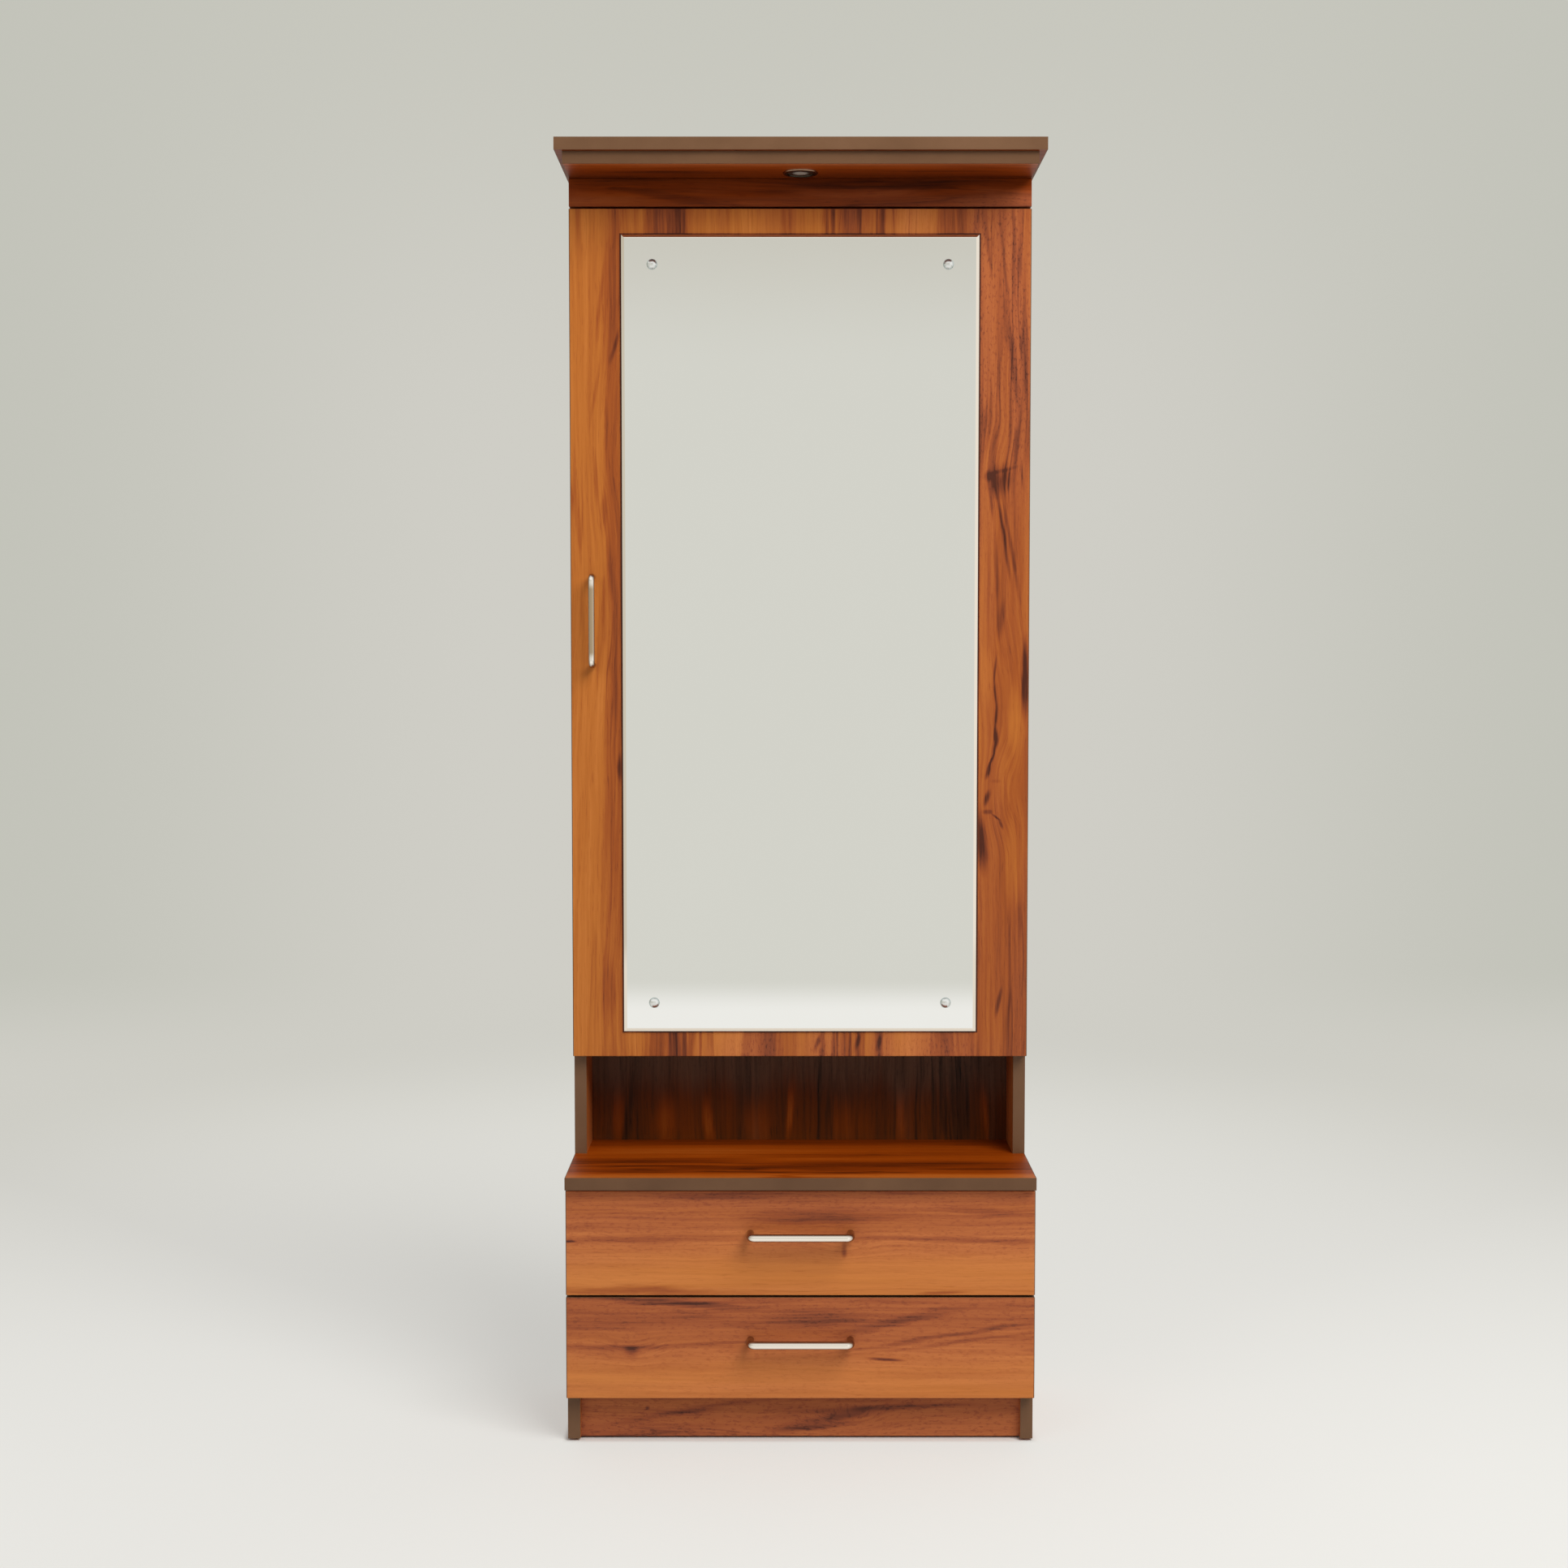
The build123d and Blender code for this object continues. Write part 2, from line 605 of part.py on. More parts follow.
def base_side(side):
    """A side of the base, grooved for the back and drilled for what it holds."""
    board = block(
        (side * INNER, side * OUTER),
        (BASE_SIDE_FRONT + EDGE_BAND, REAR),
        (GLIDE_HEIGHT, BASE_TOP_UNDER),
    )
    groove = block(
        (side * INNER, side * (INNER + GROOVE_DEPTH)),
        (BACK_FACE - FIT, BACK_FACE + BACK_BOARD + FIT),
        (GLIDE_HEIGHT, BASE_TOP_UNDER),
    )
    return cut(board, [groove, *dowel_holes, *cam_holes, *glide_holes, *slide_screw_holes])


def side_band(side, front, z):
    """The edge band on a side board's front edge."""
    strip = block((side * INNER, side * OUTER), (front, front + EDGE_BAND), z)
    return fillet(strip.faces().sort_by(Axis.Y)[0].edges().filter_by(Axis.Z), BAND_EASE)


def banded_top(outer, front, z):
    """A board with bands on its front edge and both ends, as the board and its bands."""
    span = (z, z + BOARD)
    core = outer - EDGE_BAND
    board = block((-core, core), (front + EDGE_BAND, REAR), span)
    front_band = block((-outer, outer), (front, front + EDGE_BAND), span)
    end_bands = [block((side * core, side * outer), (front + EDGE_BAND, REAR), span) for side in SIDES]
    front_edges = front_band.faces().sort_by(Axis.Y)[0].edges().filter_by(Axis.X)
    bands = [fillet(front_edges, BAND_EASE)]
    for band, side in zip(end_bands, SIDES):
        face = band.faces().sort_by(Axis.X)[0 if side < 0 else -1]
        bands.append(fillet(face.edges().filter_by(Axis.Y), BAND_EASE))
    return board, bands


def base_bottom():
    """The board under the lower drawer."""
    front = BASE_SIDE_FRONT + PANEL_SETBACK
    board = block((-INNER, INNER), (front, BACK_FACE), (BASE_BOTTOM_Z, BASE_BOTTOM_Z + BOARD))
    return cut(board, cam_holes)


def plinth():
    """The board between the feet, set back from their front edges."""
    front = BASE_SIDE_FRONT + PLINTH_SETBACK
    board = block((-INNER, INNER), (front, front + BOARD), (GLIDE_HEIGHT, BASE_BOTTOM_Z))
    return cut(board, dowel_holes)


def back_board(z):
    """A back let into the grooves of the two sides."""
    reach = INNER + GROOVE_DEPTH - FIT
    return block((-reach, reach), (BACK_FACE, BACK_FACE + BACK_BOARD), z)


# Cabinet boards

def cabinet_side(side):
    """A side of the upper cabinet, grooved for the back and drilled for what it holds."""
    board = block(
        (side * INNER, side * OUTER),
        (CABINET_FRONT + EDGE_BAND, REAR),
        (BASE_HEIGHT, CABINET_TOP_Z),
    )
    groove = block(
        (side * INNER, side * (INNER + GROOVE_DEPTH)),
        (BACK_FACE - FIT, BACK_FACE + BACK_BOARD + FIT),
        (BASE_HEIGHT, CABINET_TOP_Z),
    )
    return cut(board, [groove, *dowel_holes, *cam_holes, *shelf_pin_holes, *plate_screw_holes])


def cabinet_panel(z):
    """A fixed board across the cabinet, held by cams."""
    board = block((-INNER, INNER), (CABINET_FRONT + PANEL_SETBACK, BACK_FACE), (z, z + BOARD))
    return cut(board, cam_holes)


def wall_holes():
    """The two holes for the screws that hold the cabinet to a wall."""
    length = BOARD + BACK_BOARD
    start_y = BACK_FACE - BOARD
    return [
        rod((side * WALL_HOLE_SPACING / 2, start_y, WALL_RAIL_MIDDLE_Z), TO_BACK, length, WALL_HOLE_RADIUS)
        for side in SIDES
    ]


def wall_rail():
    """The rail inside the cabinet that the wall screws pull on."""
    board = block((-INNER, INNER), (BACK_FACE - BOARD, BACK_FACE), (WALL_RAIL_Z, LID_Z))
    return cut(board, [*wall_holes(), *dowel_holes])


def cabinet_back():
    """The back of the cabinet and niche, notched at the top for a lead."""
    notch = block(
        (-NOTCH_WIDTH / 2, NOTCH_WIDTH / 2),
        (BACK_FACE, BACK_FACE + BACK_BOARD),
        (CABINET_TOP_Z - NOTCH_HEIGHT, CABINET_TOP_Z),
    )
    return back_board((BASE_HEIGHT, CABINET_TOP_Z)) - [notch, *wall_holes()]


def fascia():
    """The board over the door, on the front edges of the cabinet sides."""
    board = block((-OUTER, OUTER), (FASCIA_FACE, CABINET_FRONT), (FASCIA_Z, CABINET_TOP_Z))
    return cut(eased(board, FRONT_EASE), dowel_holes)


# Canopy and downlight

LEAD_Z = LIGHT_BOARD_TOP - LEAD_RADIUS - LEAD_SLOT_PLAY
LEAD_START_Y = LIGHT_Y + HOUSING_RADIUS


def light_board_cuts():
    """The light's hole and the lead's slot, which drops through the board over the driver."""
    half = LEAD_RADIUS + LEAD_SLOT_PLAY
    hole = rod((0, LIGHT_Y, CABINET_TOP_Z), UP, BOARD, HOUSING_RADIUS + FIT)
    run = block((-half, half), (LIGHT_Y, LEAD_DROP_Y + half), (LEAD_Z - half, LIGHT_BOARD_TOP))
    bend = LEAD_DROP_Y - LEAD_BEND - half
    drop = block((-half, half), (bend, LEAD_DROP_Y + half), (CABINET_TOP_Z, LIGHT_BOARD_TOP))
    return [hole, run, drop]


def downlight_bezel():
    """The ring on the canopy's underside."""
    foot = (0, LIGHT_Y, CABINET_TOP_Z)
    ring = rod(foot, DOWN, BEZEL_HEIGHT, BEZEL_RADIUS)
    ring = fillet(ring.faces().sort_by(Axis.Z)[0].edges(), BEZEL_EASE)
    return ring - rod(foot, DOWN, BEZEL_HEIGHT, LENS_RADIUS + FIT)


def downlight_lens():
    """The glass inside the ring."""
    return rod((0, LIGHT_Y, CABINET_TOP_Z - LENS_SINK), UP, LENS_HEIGHT, LENS_RADIUS)


def downlight_housing():
    """The can above the lens, with its reflector."""
    lens_top = CABINET_TOP_Z - LENS_SINK + LENS_HEIGHT
    height = LIGHT_BOARD_TOP - HOUSING_TOP_GAP - lens_top
    can = rod((0, LIGHT_Y, lens_top), UP, height, HOUSING_RADIUS)
    rim = LENS_RADIUS - REFLECTOR_LEDGE
    centred_on_rim = (Align.CENTER, Align.CENTER, Align.MIN)
    cone = Cone(rim, REFLECTOR_TOP_RADIUS, REFLECTOR_DEPTH, align=centred_on_rim)
    return can - Pos(0, LIGHT_Y, lens_top) * cone


def light_lead():
    """The lead from the light's can to the driver."""
    points = [(0, LEAD_START_Y, LEAD_Z), (0, LEAD_DROP_Y, LEAD_Z), (0, LEAD_DROP_Y, CABINET_TOP_Z)]
    path = FilletPolyline(*points, radius=LEAD_BEND)
    section = Plane(origin=points[0], z_dir=TO_BACK) * Circle(LEAD_RADIUS)
    return sweep(section, path=path)


def light_driver():
    """The driver under the light board, hidden behind the fascia."""
    half_width = DRIVER_WIDTH / 2
    half_depth = DRIVER_DEPTH / 2
    body = block(
        (-half_width, half_width),
        (LEAD_DROP_Y - half_depth, LEAD_DROP_Y + half_depth),
        (CABINET_TOP_Z - DRIVER_HEIGHT, CABINET_TOP_Z),
    )
    return fillet(body.edges().filter_by(Axis.Z), DRIVER_EASE)


# Door

def mirror_screw_points():
    """Where the four mirror screws go through the mirror's face."""
    x = OUTER - MIRROR_SIDE_MARGIN - MIRROR_SCREW_SIDE
    rise = MIRROR_END_MARGIN + MIRROR_SCREW_END
    return [(side * x, MIRROR_FACE, z) for side in SIDES for z in (DOOR_Z + rise, DOOR_TOP - rise)]


def mirror_screw(point, play=0.0):
    """A screw through the mirror into the door."""
    reach = MIRROR_THICKNESS + MIRROR_SCREW_REACH + play
    radius = MIRROR_SCREW_RADIUS + play
    return screw(point, TO_BACK, reach, radius, MIRROR_HEAD_RADIUS, MIRROR_HEAD_HEIGHT)


def mirror_cap(point):
    """A domed cap over a mirror screw's head, turned from half its section."""
    hollow_radius = MIRROR_HEAD_RADIUS + FIT
    hollow_height = MIRROR_HEAD_HEIGHT + FIT
    ball_radius = (CAP_RADIUS**2 + CAP_HEIGHT**2) / (2 * CAP_HEIGHT)
    crown = (0, CAP_HEIGHT)
    rim = (CAP_RADIUS, 0)
    dome = RadiusArc(crown, rim, ball_radius)
    inside = Polyline(rim, (hollow_radius, 0), (hollow_radius, hollow_height), (0, hollow_height), crown)
    cap = revolve(make_face([dome, inside]), Axis.Y)
    return Pos(*point) * Rot(0, 0, 180) * cap


def mirror():
    """The mirror on the door's face, with bevelled edges and four holes."""
    half = OUTER - MIRROR_SIDE_MARGIN
    z = (DOOR_Z + MIRROR_END_MARGIN, DOOR_TOP - MIRROR_END_MARGIN)
    glass = block((-half, half), (MIRROR_FACE, DOOR_FACE), z)
    face = glass.faces().sort_by(Axis.Y)[0]
    glass = chamfer(face.edges(), MIRROR_BEVEL_WIDTH, MIRROR_BEVEL_DEPTH, reference=face)
    hole_radius = MIRROR_SCREW_RADIUS + MIRROR_HOLE_PLAY
    return glass - [rod(point, TO_BACK, MIRROR_THICKNESS, hole_radius) for point in mirror_screw_points()]


def door_panel(handle_holes):
    """The door's board, bored for its hinges, handle and mirror."""
    board = eased(block((-OUTER, OUTER), (DOOR_FACE, DOOR_BACK), (DOOR_Z, DOOR_TOP)), FRONT_EASE)
    mirror_holes = [mirror_screw(point, FIT) for point in mirror_screw_points()]
    return cut(board, [*cup_holes, *handle_holes, *mirror_holes])


DOOR_HANDLE_PLACE = Pos(-OUTER + DOOR_HANDLE_IN, DOOR_FACE, DOOR_Z + DOOR_HANDLE_UP) * Rot(0, 90, 0)
door_handle, door_handle_screws, door_handle_holes = handle_set(
    DOOR_HANDLE_PLACE, DOOR_HANDLE_PITCH, DOOR_HANDLE_WIRE, DOOR_HANDLE_REACH
)


# Drawers

def slide_height(front_z, front_height):
    """The height of a drawer's slides, at the middle of its box."""
    return front_z + BOX_RISE + (front_height - BOX_RISE - BOX_HEADROOM) / 2


def drawer(name, front_z, front_height):
    """The pieces of one drawer, closed, by node name."""
    box_z = front_z + BOX_RISE
    box_top = front_z + front_height - BOX_HEADROOM
    bottom_z = box_z + BOTTOM_RISE
    bottom_top = bottom_z + DRAWER_BOTTOM
    groove_reach = DRAWER_INNER + BOTTOM_GROOVE
    groove = block(
        (-groove_reach, groove_reach),
        (DRAWER_BACK - BOTTOM_GROOVE, BOX_END),
        (bottom_z - GROOVE_PLAY, bottom_top + GROOVE_PLAY),
    )
    board_reach = groove_reach - GROOVE_PLAY
    handle_place = Pos(0, DRAWER_FACE, front_z + front_height - DRAWER_HANDLE_DROP)
    handle, screws, screw_holes = handle_set(
        handle_place, DRAWER_HANDLE_PITCH, DRAWER_HANDLE_WIRE, DRAWER_HANDLE_REACH
    )
    front = block((-OUTER, OUTER), (DRAWER_FACE, DRAWER_BACK), (front_z, front_z + front_height))
    sides = [
        block((side * DRAWER_INNER, side * DRAWER_OUTER), (DRAWER_BACK, BOX_END), (box_z, box_top)) - groove
        for side in SIDES
    ]
    slide_z = slide_height(front_z, front_height)
    return {
        f"{name}_drawer_front": cut(eased(front, FRONT_EASE), [groove, *screw_holes]),
        f"{name}_drawer_sides": sides,
        f"{name}_drawer_back": block(
            (-DRAWER_INNER, DRAWER_INNER), (BOX_END - DRAWER_BOARD, BOX_END), (bottom_top, box_top)
        ),
        f"{name}_drawer_bottom": block(
            (-board_reach, board_reach),
            (DRAWER_BACK - BOTTOM_GROOVE + GROOVE_PLAY, BOX_END),
            (bottom_z, bottom_top),
        ),
        f"{name}_drawer_handle": handle,
        f"{name}_drawer_handle_screws": screws,
        f"{name}_drawer_slides": [slide_inner(side, slide_z) for side in SIDES],
        f"{name}_slide_middles": [slide_middle(side, slide_z) for side in SIDES],
    }


FRONTS = {
    "upper": (UPPER_FRONT_Z, UPPER_FRONT_HEIGHT),
    "lower": (LOWER_FRONT_Z, LOWER_FRONT_HEIGHT),
}
SLIDE_PLACES = [(side, slide_height(*front)) for front in FRONTS.values() for side in SIDES]
slide_screws = [slide_screw(side, y, z) for side, z in SLIDE_PLACES for y in SLIDE_SCREW_YS]
slide_screw_holes = [slide_screw(side, y, z, FIT) for side, z in SLIDE_PLACES for y in SLIDE_SCREW_YS]


# The whole cabinet

base_top, base_top_bands = banded_top(OUTER, BASE_FRONT, BASE_TOP_UNDER)
light_board, light_board_bands = banded_top(OUTER, LIGHT_BOARD_FRONT, CABINET_TOP_Z)
canopy_top, canopy_top_bands = banded_top(CANOPY_OUTER, CANOPY_FRONT, LIGHT_BOARD_TOP)
side_bands = [side_band(side, BASE_SIDE_FRONT, (GLIDE_HEIGHT, BASE_TOP_UNDER)) for side in SIDES]
side_bands += [side_band(side, CABINET_FRONT, (BASE_HEIGHT, CABINET_TOP_Z)) for side in SIDES]

pieces = {
    "base_side_left": base_side(-1),
    "base_side_right": base_side(1),
    "base_bottom": base_bottom(),
    "base_top": cut(base_top, dowel_holes),
    "base_back": back_board((GLIDE_HEIGHT, BASE_TOP_UNDER)),
    "plinth": plinth(),
    "floor_glides": glides,
    "cabinet_side_left": cabinet_side(-1),
    "cabinet_side_right": cabinet_side(1),
    "cabinet_bottom": cabinet_panel(CABINET_BOTTOM_Z),
    "cabinet_top": cabinet_panel(LID_Z),
    "cabinet_back": cabinet_back(),
    "wall_rail": wall_rail(),
    "shelf_pins": shelf_pins,
    "fascia": fascia(),
    "canopy_light_board": cut(light_board, [*light_board_cuts(), *dowel_holes]),
    "canopy_top_board": cut(canopy_top, dowel_holes),
    "side_edge_bands": side_bands,
    "top_edge_bands": [*base_top_bands, *light_board_bands, *canopy_top_bands],
    "downlight_bezel": downlight_bezel(),
    "downlight_lens": downlight_lens(),
    "downlight_housing": downlight_housing(),
    "light_lead": light_lead(),
    "light_driver": light_driver(),
    "hinge_plates": hinge_plates,
    "hinge_arms": [*hinge_arms, *hinge_pins],
    "hinge_links": hinge_links,
    "slide_outers": [slide_outer(*place) for place in SLIDE_PLACES],
    "carcass_screws": [*plate_screws, *slide_screws],
    "cam_locks": cams,
    "cam_bolts": cam_bolts,
    "wood_dowels": dowels,
    "door_panel": door_panel(door_handle_holes),
    "mirror": mirror(),
    "mirror_screws": [mirror_screw(point) for point in mirror_screw_points()],
    "mirror_screw_caps": [mirror_cap(point) for point in mirror_screw_points()],
    "door_handle": door_handle,
    "door_handle_screws": door_handle_screws,
    "hinge_cups": hinge_cups,
    "hinge_cup_screws": cup_screws,
}
for number, shelf_z in enumerate(SHELF_ZS, 1):
    pieces[f"shelf_{number}"] = shelf(shelf_z)
for drawer_name, drawer_front in FRONTS.items():
    pieces.update(drawer(drawer_name, *drawer_front))

os.makedirs("parts", exist_ok=True)
for node, piece in pieces.items():
    shape = Compound(children=list(piece)) if isinstance(piece, list) else piece
    export_step(shape, f"parts/{node}.step")
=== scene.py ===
import json
import math
from collections import namedtuple

import bpy
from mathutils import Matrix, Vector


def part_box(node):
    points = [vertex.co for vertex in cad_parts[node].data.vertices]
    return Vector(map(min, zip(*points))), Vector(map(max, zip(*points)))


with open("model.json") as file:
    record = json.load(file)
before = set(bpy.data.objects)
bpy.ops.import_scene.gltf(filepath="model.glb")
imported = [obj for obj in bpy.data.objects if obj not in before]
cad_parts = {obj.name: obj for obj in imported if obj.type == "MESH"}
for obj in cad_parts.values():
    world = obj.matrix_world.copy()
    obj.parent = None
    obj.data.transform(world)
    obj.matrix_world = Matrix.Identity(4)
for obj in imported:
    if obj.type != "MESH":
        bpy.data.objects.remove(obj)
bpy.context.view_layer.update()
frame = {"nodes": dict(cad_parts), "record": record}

# Where the photograph was taken from, in metres and degrees
CAMERA_PLACE = (-0.021, -2.8458, 1.0026)
CAMERA_PITCH = 86.837
CAMERA_LENS = 50.0
CAMERA_SENSOR = 36.0

# Studio: a pale floor that fades into a plain grey room
FLOOR_HALF = 9.0
FLOOR_COLOUR = (0.84, 0.83, 0.793)
FLOOR_MOTTLE = 1.6
FLOOR_MOTTLE_SHADE = 0.965
FLOOR_GLOW = (0.5, 1.0)
FLOOR_GLOW_REACH = (0.0, 2.0)
FLOOR_UNDER = (-0.002, 0.009)
FLOOR_CURVE = 0.4
FLOOR_NEAR = (0.885, 0.875, 0.835)
FLOOR_FAR = (0.62, 0.612, 0.562)
FLOOR_FADE = (-0.2, 3.4)
FLOOR_BEHIND = (2.2, 4.4)
FLOOR_BEFORE = (3.35, 4.05)
FLOOR_BESIDE = (4.0, 8.0)
ROOM_BEHIND = (0.625, 0.615, 0.565)
ROOM_EDGE = (0.545, 0.547, 0.49)
ROOM_HIGH = (0.575, 0.573, 0.515)
ROOM_BEFORE = (0.69, 0.685, 0.627)
ROOM_BEFORE_HIGH = (0.61, 0.59, 0.52)
ROOM_BRIGHT = (0.96, 0.955, 0.93)
AMBIENT = (0.22, 0.22, 0.217)
AMBIENT_BEHIND = (0.6, 0.6, 0.59)

# Where the room's shades meet, as parts of the direction of sight
ROOM_RISE = (0.1, 0.3)
ROOM_ASIDE = (0.12, 0.36)
ROOM_BEFORE_RISE = (0.13, 0.21)
ROOM_BRIGHT_ASIDE = (0.3, 0.5)
ROOM_BRIGHT_RISE = (0.34, 0.5)
ROOM_TURN = (0.3, -0.1)
AMBIENT_TURN = (0.0, 0.8)

Lamp = namedtuple("Lamp", "name place aim size watts")
LAMPS = (
    Lamp("key", (1.75, -2.4, 3.6), (0.0, 0.0, 0.75), 2.5, 160.0),
    Lamp("fill", (-2.2, -2.6, 2.2), (0.0, 0.0, 0.8), 1.8, 14.0),
)

NOISE_MIDDLE = 0.5
AXES = {"X": 0, "Y": 1, "Z": 2}
ALL_AXES = (0, 1, 2)
PLAN_AXES = (0, 1)
FACE_AXES = (0, 2)
RIM_AXES = (0,)


class Graph:
    """A node tree, with a short call for each kind of node that the materials need."""

    def __init__(self, tree):
        self.tree = tree

    def add(self, kind, values=(), **settings):
        """A node with its settings, and its inputs given as sockets to join or as constants."""
        made = self.tree.nodes.new(kind)
        for name, value in settings.items():
            setattr(made, name, value)
        for key, value in dict(values).items():
            self.feed(made.inputs[key], value)
        return made

    def feed(self, socket, value):
        """Joins a socket to an input, or sets a constant there."""
        if isinstance(value, bpy.types.NodeSocket):
            self.tree.links.new(value, socket)
        else:
            socket.default_value = value

    def math(self, operation, *values):
        """The result of one arithmetic step."""
        return self.add("ShaderNodeMath", enumerate(values), operation=operation).outputs[0]

    def chain(self, operation, values):
        """Several values taken together by one operation, such as their sum or the highest."""
        result = values[0]
        for value in values[1:]:
            result = self.math(operation, result, value)
        return result

    def total(self, values):
        """The sum of several values."""
        return self.chain("ADD", values)

    def split(self, vector):
        """The three parts of a vector."""
        return self.add("ShaderNodeSeparateXYZ", {0: vector}).outputs

    def join(self, x, y, z):
        """A vector from its three parts."""
        return self.add("ShaderNodeCombineXYZ", enumerate((x, y, z))).outputs[0]

    def stretch(self, vector, scale, shift=(0.0, 0.0, 0.0)):
        """A vector scaled along each axis and then moved."""
        values = {0: vector, 1: scale, 2: shift}
        return self.add("ShaderNodeVectorMath", values, operation="MULTIPLY_ADD").outputs[0]

    def noise(self, vector, detail=2.0, roughness=0.5):
        """Smooth noise from 0 to 1, one grain to a unit of the vector."""
        values = {"Vector": vector, "Scale": 1.0, "Detail": detail, "Roughness": roughness}
        return self.add("ShaderNodeTexNoise", values).outputs[0]

    def texture(self, waves, detail=2.0, roughness=0.5):
        """Noise over the piece, by its waves to a metre along each axis or along all of them."""
        scale = waves if isinstance(waves, tuple) else (waves, waves, waves)
        return self.noise(self.stretch(self.place(), scale), detail, roughness)

    def about_zero(self, noise, swing):
        """Noise from 0 to 1 made to swing up to an amount either way of zero."""
        return self.math("MULTIPLY", self.math("SUBTRACT", noise, NOISE_MIDDLE), 2.0 * swing)

    def fade(self, value, start, end, low=0.0, high=1.0):
        """Goes smoothly from low to high as a value goes from start to end."""
        values = enumerate((value, start, end, low, high))
        return self.add("ShaderNodeMapRange", values, interpolation_type="SMOOTHSTEP").outputs[0]

    def ramp(self, factor, stops):
        """A colour from a list of (place, colour) stops."""
        made = self.add("ShaderNodeValToRGB", {0: factor})
        marks = made.color_ramp.elements
        while len(marks) < len(stops):
            marks.new(1.0)
        for mark, (place, colour) in zip(marks, stops):
            mark.position = place
            mark.color = (*colour, 1.0)
        return made.outputs[0]

    def mix(self, factor, first, second):
        """A blend of two colours."""
        colours = [(*colour, 1.0) if isinstance(colour, tuple) else colour for colour in (first, second)]
        values = zip((0, 6, 7), (factor, *colours))
        return self.add("ShaderNodeMix", values, data_type="RGBA").outputs[2]

    def mix_shaders(self, factor, first, second):
        """A blend of two shaders."""
        return self.add("ShaderNodeMixShader", enumerate((factor, first, second))).outputs[0]

    def bump(self, height, strength, distance):
        """A normal from a height."""
        values = {"Height": height, "Strength": strength, "Distance": distance}
        return self.add("ShaderNodeBump", values).outputs[0]

    def place(self):
        """Places on the piece, in metres."""
        return self.add("ShaderNodeTexCoord").outputs["Object"]

    def facing(self, start, end):
        """Goes from 0 to 1 as the surface turns to the front or the back."""
        normal = self.split(self.add("ShaderNodeTexCoord").outputs["Normal"])
        return self.fade(self.math("ABSOLUTE", normal[1]), start, end)

    def outside(self, low, high, axes):
        """How far a place lies outside a box along some axes, below zero inside it."""
        parts = self.split(self.place())
        gaps = [self.math("SUBTRACT", low[axis], parts[axis]) for axis in axes]
        gaps += [self.math("SUBTRACT", parts[axis], high[axis]) for axis in axes]
        return self.chain("MAXIMUM", gaps)

    def off_axis(self, low, high):
        """How far a place lies from the upright axis of a round box, as a share of its radius."""
        parts = self.split(self.place())
        offs = [self.math("SUBTRACT", parts[axis], (low[axis] + high[axis]) / 2.0) for axis in PLAN_AXES]
        squares = [self.math("MULTIPLY", off, off) for off in offs]
        return self.math("DIVIDE", self.math("SQRT", self.total(squares)), (high[0] - low[0]) / 2.0)


def new_material(name):
    """An empty material and its graph."""
    made = bpy.data.materials.new(name)
    made.use_nodes = True
    made.node_tree.nodes.clear()
    return made, Graph(made.node_tree)


def shade(colour, share):
    """A colour made darker or lighter."""
    return tuple(min(1.0, part * share) for part in colour)


def show(graph, shader):
    """Makes a shader the surface of a material."""
    graph.add("ShaderNodeOutputMaterial", {"Surface": shader})


def principled(graph, **values):
    """The surface of a material, its inputs given by name with _ for a space."""
    inputs = {name.replace("_", " "): value for name, value in values.items()}
    shader = graph.add("ShaderNodeBsdfPrincipled", inputs).outputs[0]
    show(graph, shader)


# Wood-grain laminate. A layer of the grain is noise: how many waves it has to a metre across and along
# the grain, its detail, how far it swings, and for dark marks the noise at which they start and are full.
Layer = namedtuple("Layer", "across along detail swing start full", defaults=(0.0, 0.0, 1.0))
BENDS = (Layer(3.2, 1.1, 2.0, 0.016), Layer(9.0, 4.6, 2.0, 0.006), Layer(36.0, 17.0, 2.0, 0.0014))
BANDS = Layer(12.0, 0.7, 2.0, 0.17)
STREAKS = Layer(46.0, 1.6, 4.0, 0.24)
FIBRES = Layer(260.0, 6.0, 3.0, 0.21)
BLUSHES = Layer(24.0, 1.8, 3.0, 0.7)
DARK_STREAKS = Layer(26.0, 1.3, 3.0, 0.34, 0.56, 0.76)
WISPS = Layer(50.0, 2.6, 2.0)
WISP_WIDTH = 0.05
WISP_PATCHES = Layer(13.0, 2.2, 2.0, 0.26, 0.46, 0.62)
PORES = Layer(900.0, 42.0, 1.0, 0.12, 0.6, 0.72)
FLECKS = Layer(420.0, 150.0, 2.0, 0.26, 0.52, 0.66)
WANDER = Layer(60.0, 9.0, 3.0, 1.5)
WANDER_LIMIT = 0.007
GRAIN_ROUGHNESS = 0.58
FIBRE_SHOW = 2.4
PORE_DROP = 3.0
ROSY_SPAN = (-0.3, 0.3)
WOOD_ROUGH = 0.42
WOOD_ROUGH_SWING = 0.35
WOOD_BUMP = (0.12, 0.0004)
SEED_STEPS = (3.17, 1.31, 5.73)
FACE_SOFTNESS = 0.001

# An edge band's brown line starts and is full at these places, measured from the board's edge: at the upright
# edges of its face, and at all its edges. The painted contact shadow round a piece is measured from that
# piece.
RIM = (-0.0013, -0.0008)
RIM_EDGE = (-0.0003, -0.0001)
CONTACT_SHADOW = (0.003, 0.0018)
CONTACT_SHADOW_DEPTH = 0.55

# A streak is a mark in the figure: where it lies across and along the grain, its half width and half
# length, how far it leans off the grain, and how dark it is, below zero for a light one. Its edge fades
# out over a share of its half size. A bulge has the same places, and the last number is how far it pushes
# the grain aside.
Streak = namedtuple("Streak", "across along half_width half_length lean depth")
STREAK_EDGE = (1.25, 0.15)

